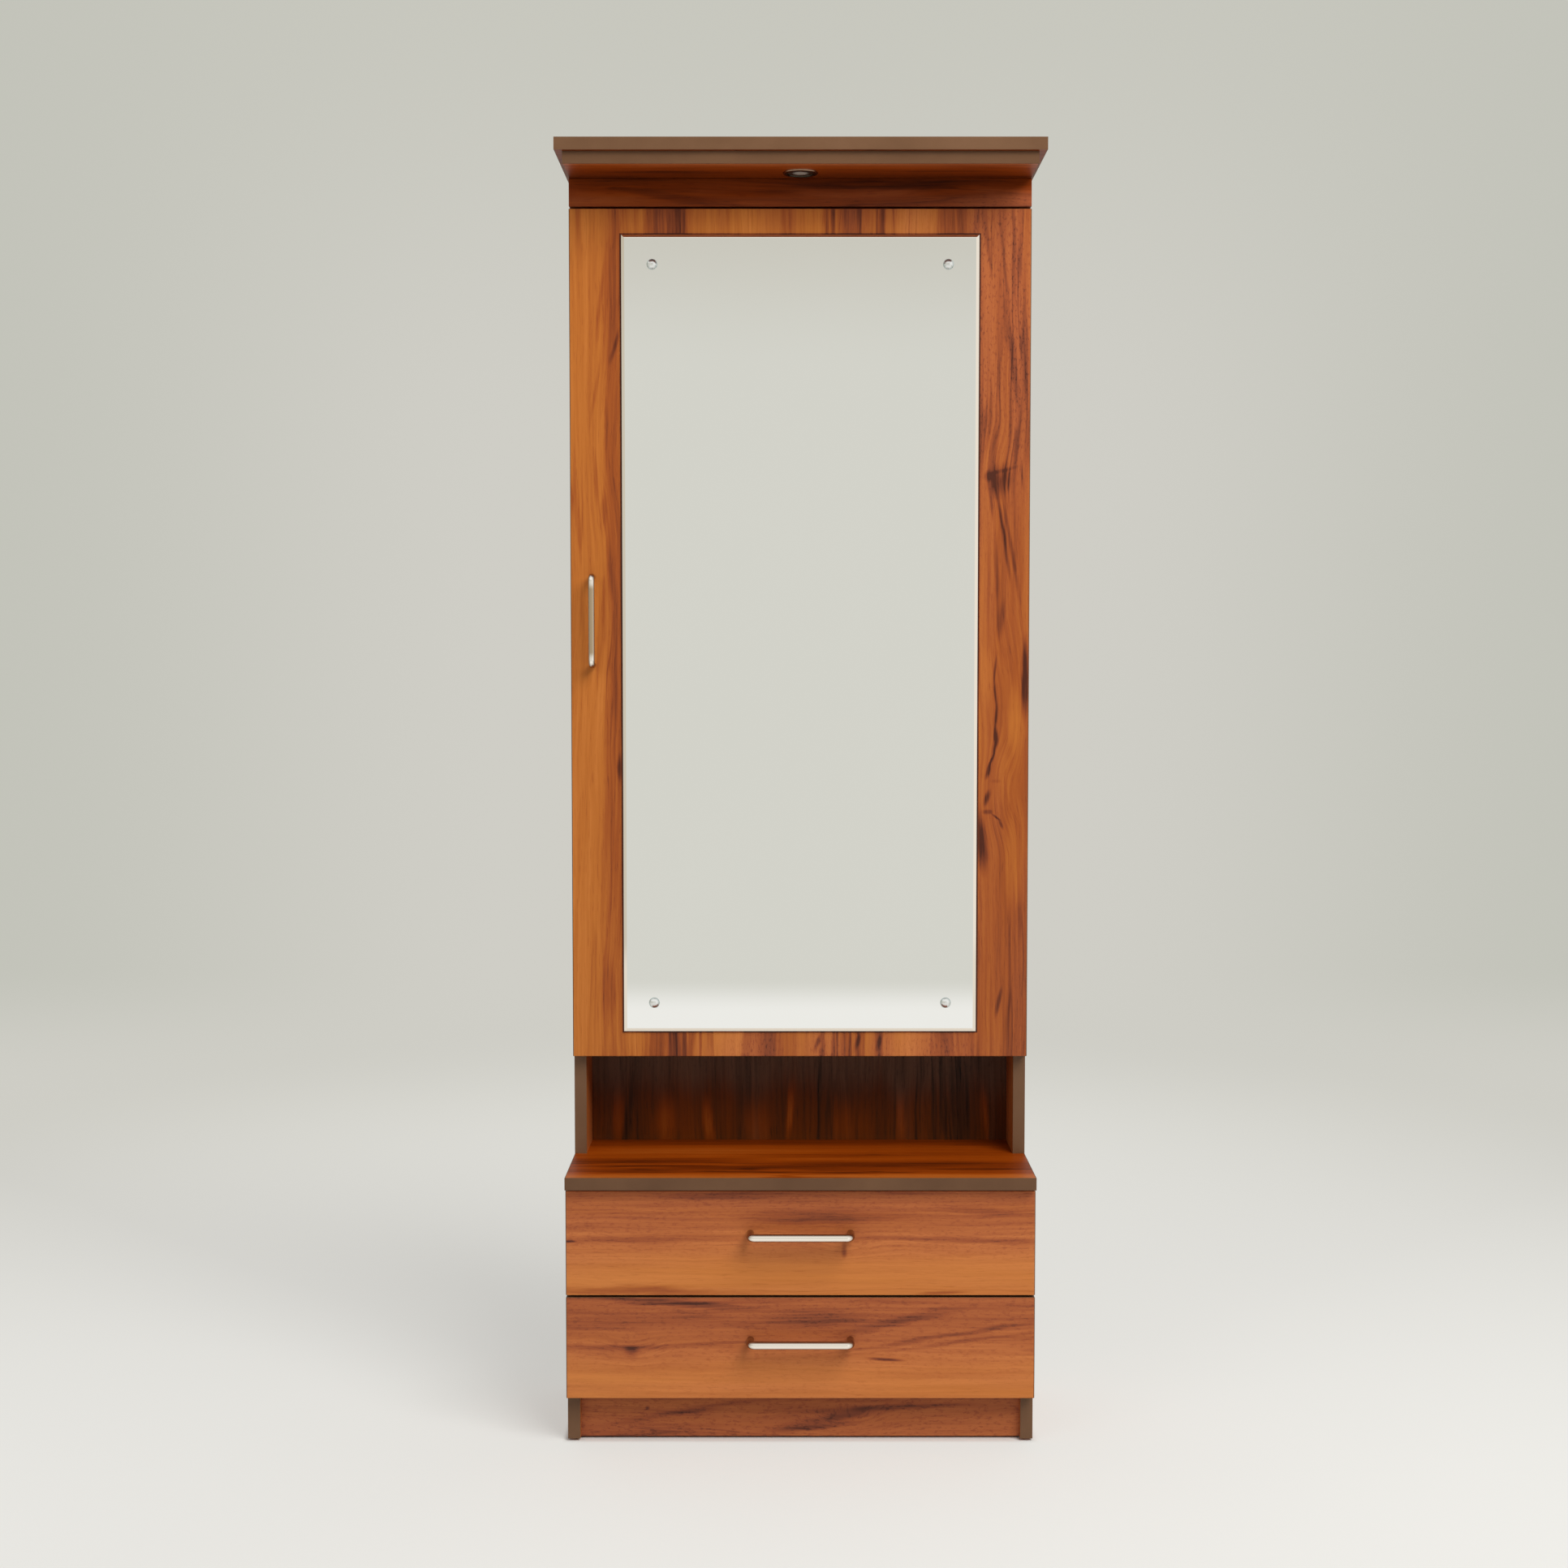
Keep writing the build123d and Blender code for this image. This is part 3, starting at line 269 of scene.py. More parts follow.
GOLDEN_TONES = (
    (0.0, (0.62, 0.215, 0.047)),
    (0.3, (0.47, 0.143, 0.024)),
    (0.55, (0.335, 0.08, 0.016)),
    (0.78, (0.19, 0.042, 0.013)),
    (1.0, (0.07, 0.016, 0.007)),
)
ROSY_TONES = (
    (0.0, (0.63, 0.214, 0.062)),
    (0.3, (0.46, 0.134, 0.041)),
    (0.55, (0.335, 0.086, 0.031)),
    (0.78, (0.195, 0.051, 0.024)),
    (1.0, (0.075, 0.022, 0.013)),
)
DEEP_TONES = (
    (0.0, (0.46, 0.115, 0.014)),
    (0.3, (0.32, 0.054, 0.002)),
    (0.55, (0.21, 0.031, 0.001)),
    (0.78, (0.11, 0.016, 0.001)),
    (1.0, (0.04, 0.006, 0.001)),
)
DARK_TONES = (
    (0.0, (0.36, 0.085, 0.01)),
    (0.35, (0.19, 0.036, 0.003)),
    (0.6, (0.105, 0.024, 0.004)),
    (0.8, (0.05, 0.016, 0.006)),
    (1.0, (0.012, 0.004, 0.002)),
)
SMOKY_TONES = (
    (0.0, (0.3, 0.125, 0.058)),
    (0.35, (0.19, 0.093, 0.052)),
    (0.6, (0.125, 0.062, 0.036)),
    (0.8, (0.06, 0.03, 0.0175)),
    (1.0, (0.012, 0.005, 0.003)),
)
BEECH_TONES = (
    (0.0, (0.66, 0.47, 0.29)),
    (0.5, (0.56, 0.38, 0.22)),
    (1.0, (0.4, 0.25, 0.13)),
)
LIGHT = (GOLDEN_TONES, ROSY_TONES)
DEEP = (DEEP_TONES, DEEP_TONES)
DUSKY = (DEEP_TONES, ROSY_TONES)
DARK = (DARK_TONES, SMOKY_TONES)
BEECH = (BEECH_TONES, BEECH_TONES)

DOOR_FIGURE = (
    Streak(-0.24, 1.05, 0.02, 2.0, 0.0, 0.25),
    Streak(-0.243, 1.5, 0.012, 0.12, 3.0, 0.12),
    Streak(-0.26, 1.47, 0.004, 0.06, 5.7, 0.2),
    Streak(-0.2415, 1.415, 0.003, 0.025, 14.0, 0.3),
    Streak(-0.266, 1.36, 0.003, 0.055, 8.8, 0.16),
    Streak(-0.253, 1.31, 0.004, 0.06, -2.0, 0.16),
    Streak(-0.266, 1.24, 0.004, 0.04, -3.0, 0.18),
    Streak(-0.257, 1.2, 0.006, 0.032, 0.0, 0.24),
    Streak(-0.248, 1.13, 0.005, 0.06, -6.0, 0.16),
    Streak(-0.258, 1.08, 0.003, 0.05, 2.0, 0.18),
    Streak(-0.286, 1.07, 0.003, 0.04, 0.0, 0.14),
    Streak(-0.236, 0.866, 0.004, 0.02, 0.0, 0.3),
    Streak(-0.253, 0.577, 0.009, 0.055, 0.0, 0.18),
    Streak(-0.188, 1.0, 0.018, 1.4, 0.0, 0.34),
    Streak(-0.161, 1.0, 0.013, 1.4, 0.2, 0.48),
    Streak(-0.17, 1.0, 0.01, 1.4, 0.0, 0.26),
    Streak(-0.151, 1.0, 0.003, 1.4, 0.1, 0.24),
    Streak(-0.08, 1.0, 0.05, 1.2, 0.0, -0.26),
    Streak(-0.016, 1.0, 0.018, 1.4, 0.0, 0.14),
    Streak(0.031, 1.0, 0.004, 1.2, 0.2, 0.4),
    Streak(0.044, 1.0, 0.004, 1.3, -0.2, 0.44),
    Streak(0.062, 1.0, 0.018, 1.3, 0.0, 0.28),
    Streak(0.0765, 1.0, 0.004, 1.4, 0.0, 0.34),
    Streak(0.1045, 1.0, 0.006, 1.4, 0.0, 0.46),
    Streak(0.023, 0.502, 0.0035, 0.014, 17.0, 0.42),
    Streak(0.0755, 0.502, 0.004, 0.014, 14.0, 0.3),
    Streak(0.1045, 0.502, 0.004, 0.014, 17.0, 0.3),
    Streak(0.142, 1.0, 0.03, 1.2, 0.0, -0.18),
    Streak(0.19, 1.0, 0.019, 1.3, 0.0, 0.36),
    Streak(0.217, 1.0, 0.02, 1.3, 0.0, 0.2),
    Streak(0.275, 1.0, 0.055, 3.0, 0.0, 0.15),
    # Darker band across the top rail: painted shade of the canopy
    Streak(0.0, 1.59, 0.28, 0.035, 0.0, 0.14),
    Streak(0.275, 1.405, 0.0075, 0.08, -7.7, 0.32),
    Streak(0.292, 1.44, 0.003, 0.1, -1.0, 0.2),
    Streak(0.2655, 1.52, 0.0026, 0.075, -6.3, 0.24),
    Streak(0.266, 1.2545, 0.011, 0.0065, 71.0, 0.2),
    Streak(0.246, 1.247, 0.007, 0.008, 0.0, 0.3),
    Streak(0.257, 1.239, 0.015, 0.024, 0.0, 0.42),
    Streak(0.263, 1.19, 0.0026, 0.036, -8.4, 0.36),
    Streak(0.249, 1.21, 0.0024, 0.022, -5.0, 0.28),
    Streak(0.27, 1.245, 0.006, 0.02, -6.0, 0.22),
    Streak(0.289, 1.25, 0.0022, 0.022, -2.0, 0.28),
    Streak(0.268, 1.15, 0.003, 0.05, -9.0, 0.28),
    Streak(0.276, 1.15, 0.0035, 0.07, -10.0, 0.28),
    Streak(0.257, 1.13, 0.004, 0.05, -4.0, 0.2),
    Streak(0.262, 1.06, 0.007, 0.03, 6.0, 0.26),
    Streak(0.297, 0.981, 0.0085, 0.056, 0.0, 0.45),
    Streak(0.2553, 0.995, 0.0024, 0.018, 4.6, 0.4),
    Streak(0.2562, 0.964, 0.0024, 0.022, -6.5, 0.4),
    Streak(0.2573, 0.933, 0.0024, 0.018, 3.5, 0.44),
    Streak(0.2573, 0.908, 0.0034, 0.014, -5.7, 0.5),
    Streak(0.2562, 0.892, 0.0024, 0.014, 11.0, 0.44),
    Streak(0.251, 0.8755, 0.0026, 0.011, 24.7, 0.44),
    Streak(0.2468, 0.862, 0.0036, 0.012, 12.0, 0.48),
    Streak(0.2564, 0.8484, 0.009, 0.003, 0.0, 0.12),
    Streak(0.2455, 0.826, 0.004, 0.012, 14.0, 0.4),
    Streak(0.2945, 0.981, 0.004, 0.062, 0.0, 0.25),
    Streak(0.282, 0.93, 0.012, 0.06, 0.0, -0.22),
    Streak(0.245, 0.985, 0.007, 0.05, 0.0, -0.1),
    Streak(0.266, 0.87, 0.01, 0.06, 0.0, -0.1),
    Streak(0.28, 0.74, 0.012, 0.08, 0.0, -0.14),
    Streak(0.27, 0.6, 0.05, 0.22, 0.0, 0.08),
    Streak(0.247, 0.808, 0.007, 0.004, 0.0, 0.28),
    Streak(0.258, 0.801, 0.0028, 0.005, -51.0, 0.42),
    Streak(0.264, 0.792, 0.0024, 0.008, -18.0, 0.4),
    Streak(0.24, 0.77, 0.008, 0.045, -4.0, 0.5),
    Streak(0.262, 0.557, 0.0035, 0.022, 12.0, 0.42),
)
DOOR_BULGES = (
    Streak(0.262, 0.83, 0.03, 0.07, 0.0, 0.014),
    Streak(0.28, 0.96, 0.03, 0.1, 0.0, -0.009),
    Streak(0.252, 1.25, 0.025, 0.06, 0.0, 0.007),
    Streak(-0.255, 1.3, 0.03, 0.12, 0.0, 0.007),
)
DOOR_BLUSH = (
    Streak(0.26, 1.48, 0.08, 0.3, 0.0, 0.5),
    Streak(0.282, 0.86, 0.02, 0.2, 0.0, -0.3),
    Streak(0.0, 0.49, 0.3, 0.035, 0.0, 0.4),
    Streak(-0.24, 1.05, 0.03, 1.2, 0.0, 0.1),
)
UPPER_DRAWER_FIGURE = (
    # Darker along the top and lighter lower down: painted shade and painted light
    Streak(0.322, 0.0, 0.062, 2.0, 0.0, 0.2),
    Streak(0.215, 0.0, 0.04, 2.0, 0.0, -0.14),
    Streak(0.325, -0.11, 0.006, 0.1, 0.0, 0.22),
    Streak(0.328, 0.143, 0.004, 0.06, 0.0, 0.2),
    Streak(0.297, 0.02, 0.01, 0.12, 0.0, 0.24),
    Streak(0.294, 0.0, 0.02, 2.0, 0.0, 0.05),
    Streak(0.305, 0.23, 0.007, 0.07, -3.0, 0.16),
    Streak(0.269, -0.2, 0.005, 0.17, 1.2, 0.24),
    Streak(0.266, -0.296, 0.0022, 0.01, 0.0, 0.55),
    Streak(0.268, 0.19, 0.005, 0.17, -1.2, 0.32),
    # Darker zone round the handle: painted shade of the handle
    Streak(0.274, 0.03, 0.014, 0.1, 0.0, 0.14),
    Streak(0.254, 0.056, 0.009, 0.004, 0.0, 0.4),
    Streak(0.203, -0.22, 0.007, 0.15, -1.0, 0.36),
    Streak(0.199, 0.18, 0.0026, 0.04, 3.0, 0.36),
)
UPPER_DRAWER_BULGES = (Streak(0.255, 0.056, 0.02, 0.05, 0.0, 0.008),)
UPPER_DRAWER_BLUSH = (Streak(0.215, 0.0, 0.05, 2.0, 0.0, -0.4),)
LOWER_DRAWER_FIGURE = (
    # Darker along the top and lighter lower down: painted shade and painted light
    Streak(0.18, 0.0, 0.06, 2.0, 0.0, 0.2),
    Streak(0.078, 0.0, 0.04, 2.0, 0.0, -0.12),
    Streak(0.186, -0.16, 0.006, 0.11, -4.0, 0.42),
    Streak(0.163, 0.13, 0.009, 0.09, 12.0, 0.26),
    Streak(0.166, 0.02, 0.014, 0.08, 0.0, 0.26),
    Streak(0.158, -0.27, 0.014, 0.08, 0.0, 0.1),
    Streak(0.119, -0.245, 0.008, 0.05, 0.0, 0.14),
    Streak(0.144, 0.19, 0.004, 0.17, 9.0, 0.3),
    Streak(0.135, 0.2, 0.003, 0.15, 7.0, 0.24),
    Streak(0.124, -0.216, 0.008, 0.012, 0.0, 0.42),
    Streak(0.128, -0.225, 0.005, 0.11, 0.0, 0.36),
    Streak(0.133, -0.09, 0.003, 0.09, 1.5, 0.26),
    Streak(0.112, 0.11, 0.0024, 0.026, -4.0, 0.6),
)
LOWER_DRAWER_BULGES = (Streak(0.124, -0.216, 0.025, 0.05, 0.0, 0.01),)
LOWER_DRAWER_BLUSH = (Streak(0.078, 0.0, 0.045, 2.0, 0.0, -0.4),)
PLINTH_FIGURE = (
    Streak(0.036, -0.14, 0.005, 0.12, 9.0, 0.26),
    Streak(0.026, 0.05, 0.009, 0.12, 11.0, 0.3),
    Streak(0.04, 0.12, 0.005, 0.16, 3.0, 0.24),
    Streak(0.014, 0.02, 0.004, 0.07, 6.0, 0.26),
    Streak(0.039, -0.198, 0.004, 0.0035, 0.0, 0.42),
    Streak(0.012, -0.2, 0.014, 0.2, 2.0, 0.14),
    # Darker along the top edge: painted shade under the drawer front
    Streak(0.058, 0.0, 0.01, 2.0, 0.0, 0.16),
    Streak(0.046, -0.2, 0.012, 0.12, 0.0, -0.1),
    Streak(0.03, -0.01, 0.018, 0.06, 0.0, 0.1),
    Streak(0.022, 0.14, 0.012, 0.12, 0.0, 0.06),
)
PLINTH_BULGES = (Streak(0.022, 0.06, 0.02, 0.06, 0.0, 0.012),)
FASCIA_FIGURE = (
    Streak(1.606, -0.157, 0.006, 0.1, -9.0, 0.2),
    Streak(1.619, 0.05, 0.008, 0.09, 0.0, 0.18),
    Streak(1.621, 0.16, 0.007, 0.1, 4.0, 0.18),
    # Darker along the top: painted shade under the canopy
    Streak(1.628, 0.0, 0.016, 2.0, 0.0, 0.1),
    Streak(1.605, -0.25, 0.02, 0.06, 0.0, -0.08),
)
# Rosier and lighter along the bottom and at the right end: painted light where the lamp reaches under the
# canopy
FASCIA_BLUSH = (Streak(1.597, 0.0, 0.02, 2.0, 0.0, 0.4), Streak(1.603, 0.27, 0.02, 0.08, 0.0, 0.4))
BASE_TOP_FIGURE = (
    Streak(-0.035, 0.13, 0.02, 0.2, 0.0, 0.34),
    Streak(-0.015, -0.2, 0.018, 0.16, 3.0, 0.28),
    Streak(-0.052, -0.06, 0.014, 0.18, -2.0, 0.26),
    Streak(0.02, 0.1, 0.018, 0.2, 2.0, 0.2),
    Streak(-0.075, -0.2, 0.01, 0.1, 0.0, 0.22),
    Streak(-0.062, 0.22, 0.008, 0.08, 1.0, 0.24),
    # Lighter along the front edge: painted light
    Streak(-0.105, 0.0, 0.024, 2.0, 0.0, -0.42),
    Streak(0.045, -0.15, 0.03, 0.18, 0.0, -0.18),
    # Darker at the back, inside the niche: painted shade
    Streak(0.1, 0.0, 0.025, 2.0, 0.0, 0.18),
)
CANOPY_FIGURE = (
    # Darker towards the fascia and lighter at the front: painted shade of the inner corner and painted light
    Streak(0.03, 0.0, 0.05, 2.0, 0.0, 0.32),
    Streak(-0.07, 0.0, 0.03, 2.0, 0.0, -0.18),
    Streak(-0.02, -0.16, 0.008, 0.12, 0.0, 0.2),
    Streak(-0.03, 0.18, 0.009, 0.14, 1.0, 0.2),
)
CANOPY_BLUSH = (Streak(-0.075, 0.0, 0.03, 2.0, 0.0, 0.5),)
BACK_FIGURE = (
    Streak(-0.013, 0.385, 0.006, 0.05, 3.0, -0.48),
    Streak(-0.126, 0.375, 0.009, 0.04, -4.0, -0.38),
    Streak(-0.184, 0.375, 0.016, 0.045, 0.0, -0.34),
    Streak(-0.249, 0.38, 0.008, 0.05, 0.0, -0.3),
    Streak(-0.06, 0.37, 0.02, 0.04, 0.0, -0.2),
    Streak(0.07, 0.37, 0.03, 0.04, 0.0, -0.2),
    Streak(0.139, 0.38, 0.01, 0.05, 2.0, -0.34),
    Streak(0.254, 0.38, 0.005, 0.05, -4.0, -0.36),
    Streak(-0.234, 0.38, 0.008, 0.07, 4.0, 0.24),
    Streak(0.217, 0.4, 0.02, 0.09, 0.0, 0.24),
)
BACK_BLUSH = (Streak(0.0, 0.48, 1.0, 0.075, 0.0, 1.0),)


def streak_group():
    """A group that says how much of one streak lies at a place in the wood."""
    tree = bpy.data.node_groups.new("wood_streak", "ShaderNodeTree")
    names = ("Across", "Along", "Wander", *Streak._fields)
    for name in names:
        tree.interface.new_socket(name, in_out="INPUT", socket_type="NodeSocketFloat")
    tree.interface.new_socket("Amount", in_out="OUTPUT", socket_type="NodeSocketFloat")
    graph = Graph(tree)
    given = graph.add("NodeGroupInput").outputs
    off_along = graph.math("SUBTRACT", given["Along"], given["along"])
    off_across = graph.math("SUBTRACT", given["Across"], given["across"])
    leaning = graph.math("MULTIPLY", off_along, graph.math("TANGENT", given["lean"]))
    reach = graph.math("MINIMUM", given["half_width"], WANDER_LIMIT)
    wandering = graph.math("MULTIPLY", given["Wander"], reach)
    off_across = graph.math("SUBTRACT", off_across, graph.math("ADD", leaning, wandering))
    width_share = graph.math("DIVIDE", off_across, given["half_width"])
    length_share = graph.math("DIVIDE", off_along, given["half_length"])
    squares = [graph.math("MULTIPLY", share, share) for share in (width_share, length_share)]
    distance = graph.math("SQRT", graph.total(squares))
    inside = graph.fade(distance, *STREAK_EDGE)
    graph.add("NodeGroupOutput", {0: graph.math("MULTIPLY", inside, given["depth"])})
    return tree


STREAK_GROUP = streak_group()


class Grain:
    """The grain of one board: its places across, through and along the wood, and its noise."""

    def __init__(self, graph, along, across, seed):
        through = sum(ALL_AXES) - AXES[along] - AXES[across]
        parts = graph.split(graph.place())
        self.graph = graph
        self.across = parts[AXES[across]]
        self.through = parts[through]
        self.along = parts[AXES[along]]
        self.shift = tuple(seed * step for step in SEED_STEPS)

    def place(self):
        """Places in the wood as a vector."""
        return self.graph.join(self.across, self.through, self.along)

    def scaled(self, layer):
        """Places in the wood, scaled to the waves of a layer."""
        return self.graph.stretch(self.place(), (layer.across, layer.across, layer.along), self.shift)

    def noise(self, layer):
        """Noise of a layer, from 0 to 1."""
        return self.graph.noise(self.scaled(layer), layer.detail, GRAIN_ROUGHNESS)

    def swing(self, layer, share=1.0):
        """Noise of a layer, about zero."""
        return self.graph.about_zero(self.noise(layer), layer.swing * share)

    def specks(self, layer, share=1.0):
        """Dark marks where the noise of a layer is high."""
        return self.graph.fade(self.noise(layer), layer.start, layer.full, 0.0, layer.swing * share)

    def marks(self, streaks, wander):
        """How much each of a list of streaks adds at a place."""
        found = []
        for streak in streaks:
            values = {"Across": self.across, "Along": self.along, "Wander": wander}
            values.update(streak._replace(lean=math.radians(streak.lean))._asdict())
            found.append(self.graph.add("ShaderNodeGroup", values, node_tree=STREAK_GROUP).outputs[0])
        return found

    def bend(self, bulges):
        """Lets the grain wave, and pushes it aside at its bulges."""
        moved = [self.across]
        moved += [self.swing(layer) for layer in BENDS]
        moved += self.marks(bulges, 0.0)
        self.across = self.graph.total(moved)


def on_front(graph, node):
    """1 in the front half of a board and 0 in its rear half."""
    low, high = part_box(node)
    middle = (low[1] + high[1]) / 2.0
    depth = graph.split(graph.place())[1]
    return graph.fade(depth, middle - FACE_SOFTNESS, middle + FACE_SOFTNESS, 1.0, 0.0)


def wood(
    name, along, across, seed, tone, rosy, figure=(), bulges=(), blush=(), contrast=1.0, tones=LIGHT,
    specular=0.18, speckle=1.0, face=None, rim=None, shadow_from=None,
):
    """Wood-grain laminate with its grain along one axis and its figure laid out on the face.

    face names a board whose figure is on its front alone, rim one whose edge band shows round its face,
    and the last argument a piece that lies on the board, round which a thin contact shadow is painted on the
    wood.
    """
    material, graph = new_material(name)
    flat = Grain(graph, along, across, seed)
    wander = flat.swing(WANDER)
    blushes = flat.marks(blush, wander)
    drawn = flat.marks(figure, wander)
    if face:
        shown = on_front(graph, face)
        blushes = [graph.math("MULTIPLY", graph.total(blushes), shown)]
        drawn = [graph.math("MULTIPLY", graph.total(drawn), shown)]
    reddening = [graph.fade(flat.across, *ROSY_SPAN, *rosy), flat.swing(BLUSHES), *blushes]
    redness = graph.fade(graph.total(reddening), 0.0, 1.0)
    grain = Grain(graph, along, across, seed)
    grain.bend(bulges)

    fibres = grain.swing(FIBRES)
    pores = grain.specks(PORES)
    flecks = graph.chain("MULTIPLY", [grain.specks(FLECKS, contrast * speckle), redness, redness])
    off_line = graph.math("ABSOLUTE", graph.math("SUBTRACT", grain.noise(WISPS), NOISE_MIDDLE))
    wisps = graph.fade(off_line, WISP_WIDTH, 0.0)
    wisps = graph.math("MULTIPLY", wisps, grain.specks(WISP_PATCHES, contrast))
    layers = [fibres, pores, flecks, wisps, grain.specks(DARK_STREAKS, contrast)]
    layers += [grain.swing(BANDS, contrast), grain.swing(STREAKS, contrast)]
    if figure:
        fibrous = graph.math("MULTIPLY_ADD", fibres, FIBRE_SHOW, 1.0)
        layers.append(graph.math("MULTIPLY", graph.total(drawn), fibrous))
    # A thin dark line round the piece lying on the board: painted contact shadow
    if shadow_from:
        layers.append(graph.fade(graph.outside(*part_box(shadow_from), ALL_AXES), *CONTACT_SHADOW, 0.0, CONTACT_SHADOW_DEPTH))
    depth = graph.math("ADD", graph.total(layers), tone)

    golden, red = tones
    colour = graph.mix(redness, graph.ramp(depth, golden), graph.ramp(depth, red))
    if rim:
        at_sides = graph.fade(graph.outside(*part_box(rim), RIM_AXES), *RIM)
        at_edges = graph.fade(graph.outside(*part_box(rim), FACE_AXES), *RIM_EDGE)
        colour = graph.mix(graph.math("MAXIMUM", at_sides, at_edges), colour, band_colour(graph))
    height = graph.math("SUBTRACT", fibres, graph.math("MULTIPLY", pores, PORE_DROP))
    principled(
        graph,
        Base_Color=colour,
        Roughness=graph.math("MULTIPLY_ADD", fibres, WOOD_ROUGH_SWING, WOOD_ROUGH),
        Specular_IOR_Level=specular,
        Normal=graph.bump(height, *WOOD_BUMP),
    )
    return material


BAND_CLOUDS = (9.0, 60.0, 9.0)
BAND_LINES = (14.0, 900.0, 14.0)
BAND_GRAIN = 2200.0
BAND_CLOUD_SWING = 0.3
BAND_LINE_SWING = 0.4
BAND_MIDDLE = 0.5
# Darker middle tone of the bands under an overhanging board: painted shade
BAND_MIDDLE_SHADED = 0.2
BAND_STEP = 0.0005
BAND_TONES = (
    (0.0, (0.115, 0.054, 0.025)),
    (0.5, (0.152, 0.075, 0.036)),
    (1.0, (0.195, 0.1, 0.052)),
)
BAND_CLOUD_SPAN = (0.2, 0.8)
BAND_ROUGH = (0.38, 0.52)
BAND_SPECULAR = 0.25
BAND_BUMP = (0.08, 0.0002)


def band_colour(graph, middle=BAND_MIDDLE):
    """The brown of the edge bands about a middle tone, with a faint woody print along it."""
    clouds = graph.about_zero(graph.texture(BAND_CLOUDS, detail=3.0), BAND_CLOUD_SWING)
    lines = graph.about_zero(graph.texture(BAND_LINES, detail=3.0, roughness=0.6), BAND_LINE_SWING)
    return graph.ramp(graph.total([clouds, lines, middle]), BAND_TONES)


def edge_band(name, shaded_below=None):
    """Brown plastic edging, with painted shade: a darker brown below the underside of one node, under its
    overhang.
    """
    material, graph = new_material(name)
    middle = BAND_MIDDLE
    # Painted shade: the bands below the node's underside take a darker middle tone
    if shaded_below:
        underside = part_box(shaded_below)[0][2]
        height = graph.split(graph.place())[2]
        middle = graph.fade(height, underside - BAND_STEP, underside, BAND_MIDDLE_SHADED, BAND_MIDDLE)
    clouds = graph.texture(BAND_CLOUDS, detail=3.0)
    principled(
        graph,
        Base_Color=band_colour(graph, middle),
        Roughness=graph.fade(clouds, *BAND_CLOUD_SPAN, *BAND_ROUGH),
        Specular_IOR_Level=BAND_SPECULAR,
        Normal=graph.bump(graph.texture(BAND_GRAIN), *BAND_BUMP),
    )
    return material


BOARD_CLOUDS = 7.0
BOARD_CHIP_SWING = 0.5
BOARD_CLOUD_SWING = 0.25
BOARD_MIDDLE = 0.5
BOARD_SHADES = (0.7, 1.3)
BOARD_ROUGH = (0.5, 0.68)
BOARD_BUMP = (0.1, 0.0003)


def plain_board(name, colour, chip_waves):
    """Plain board or hardboard, with short chips in its face."""
    material, graph = new_material(name)
    chips = graph.about_zero(graph.texture(chip_waves, detail=4.0, roughness=0.7), BOARD_CHIP_SWING)
    clouds = graph.about_zero(graph.texture(BOARD_CLOUDS), BOARD_CLOUD_SWING)
    factor = graph.total([chips, clouds, BOARD_MIDDLE])
    low, high = [shade(colour, share) for share in BOARD_SHADES]
    principled(
        graph,
        Base_Color=graph.ramp(factor, ((0.0, low), (BOARD_MIDDLE, colour), (1.0, high))),
        Roughness=graph.fade(chips, -BOARD_CHIP_SWING, BOARD_CHIP_SWING, *BOARD_ROUGH),
        Normal=graph.bump(chips, *BOARD_BUMP),
    )
    return material


METAL_CLOUDS = 35.0
METAL_SHADE = 0.93
METAL_SPAN = (0.6, 1.4)
METAL_WEAR = 0.06
METAL_BUMP = (0.012, 0.0001)


def metal_clouds(graph):
    """The uneven polish of a metal, from 0 to 1."""
    return graph.texture(METAL_CLOUDS, detail=3.0)


def polish(graph, colour, rough, brush_waves, wear=METAL_WEAR):
    """The surface of a metal of a given colour, with fine brush marks and uneven polish."""
    brush = graph.texture(brush_waves, detail=3.0, roughness=0.6)
    dullness = graph.math("ADD", brush, metal_clouds(graph))
    principled(
        graph,
        Base_Color=colour,
        Metallic=1.0,
        Roughness=graph.fade(dullness, *METAL_SPAN, rough - wear, rough + wear),
        Normal=graph.bump(brush, *METAL_BUMP),
    )


def metal(name, colour, rough, brush_waves):
    """Bare or plated metal of one colour."""
    material, graph = new_material(name)
    clouded = graph.mix(metal_clouds(graph), shade(colour, METAL_SHADE), colour)
    polish(graph, clouded, rough, brush_waves)
    return material


HANDLE_CORE = (0.99, 0.92, 0.84)
# Brown of the flanks: painted shade and reflection of the wood
HANDLE_FLANK_SHADE_AND_REFLECTION = (0.36, 0.28, 0.22)
# Tan at the middle of the door handle: painted reflection
HANDLE_TAN_REFLECTION = (0.52, 0.4, 0.27)
HANDLE_FACING = (0.6, 0.99)
HANDLE_TAN_REFLECTION_REACH = (0.04, 0.05)
HANDLE_ROUGH = 0.13
HANDLE_WEAR = 0.03


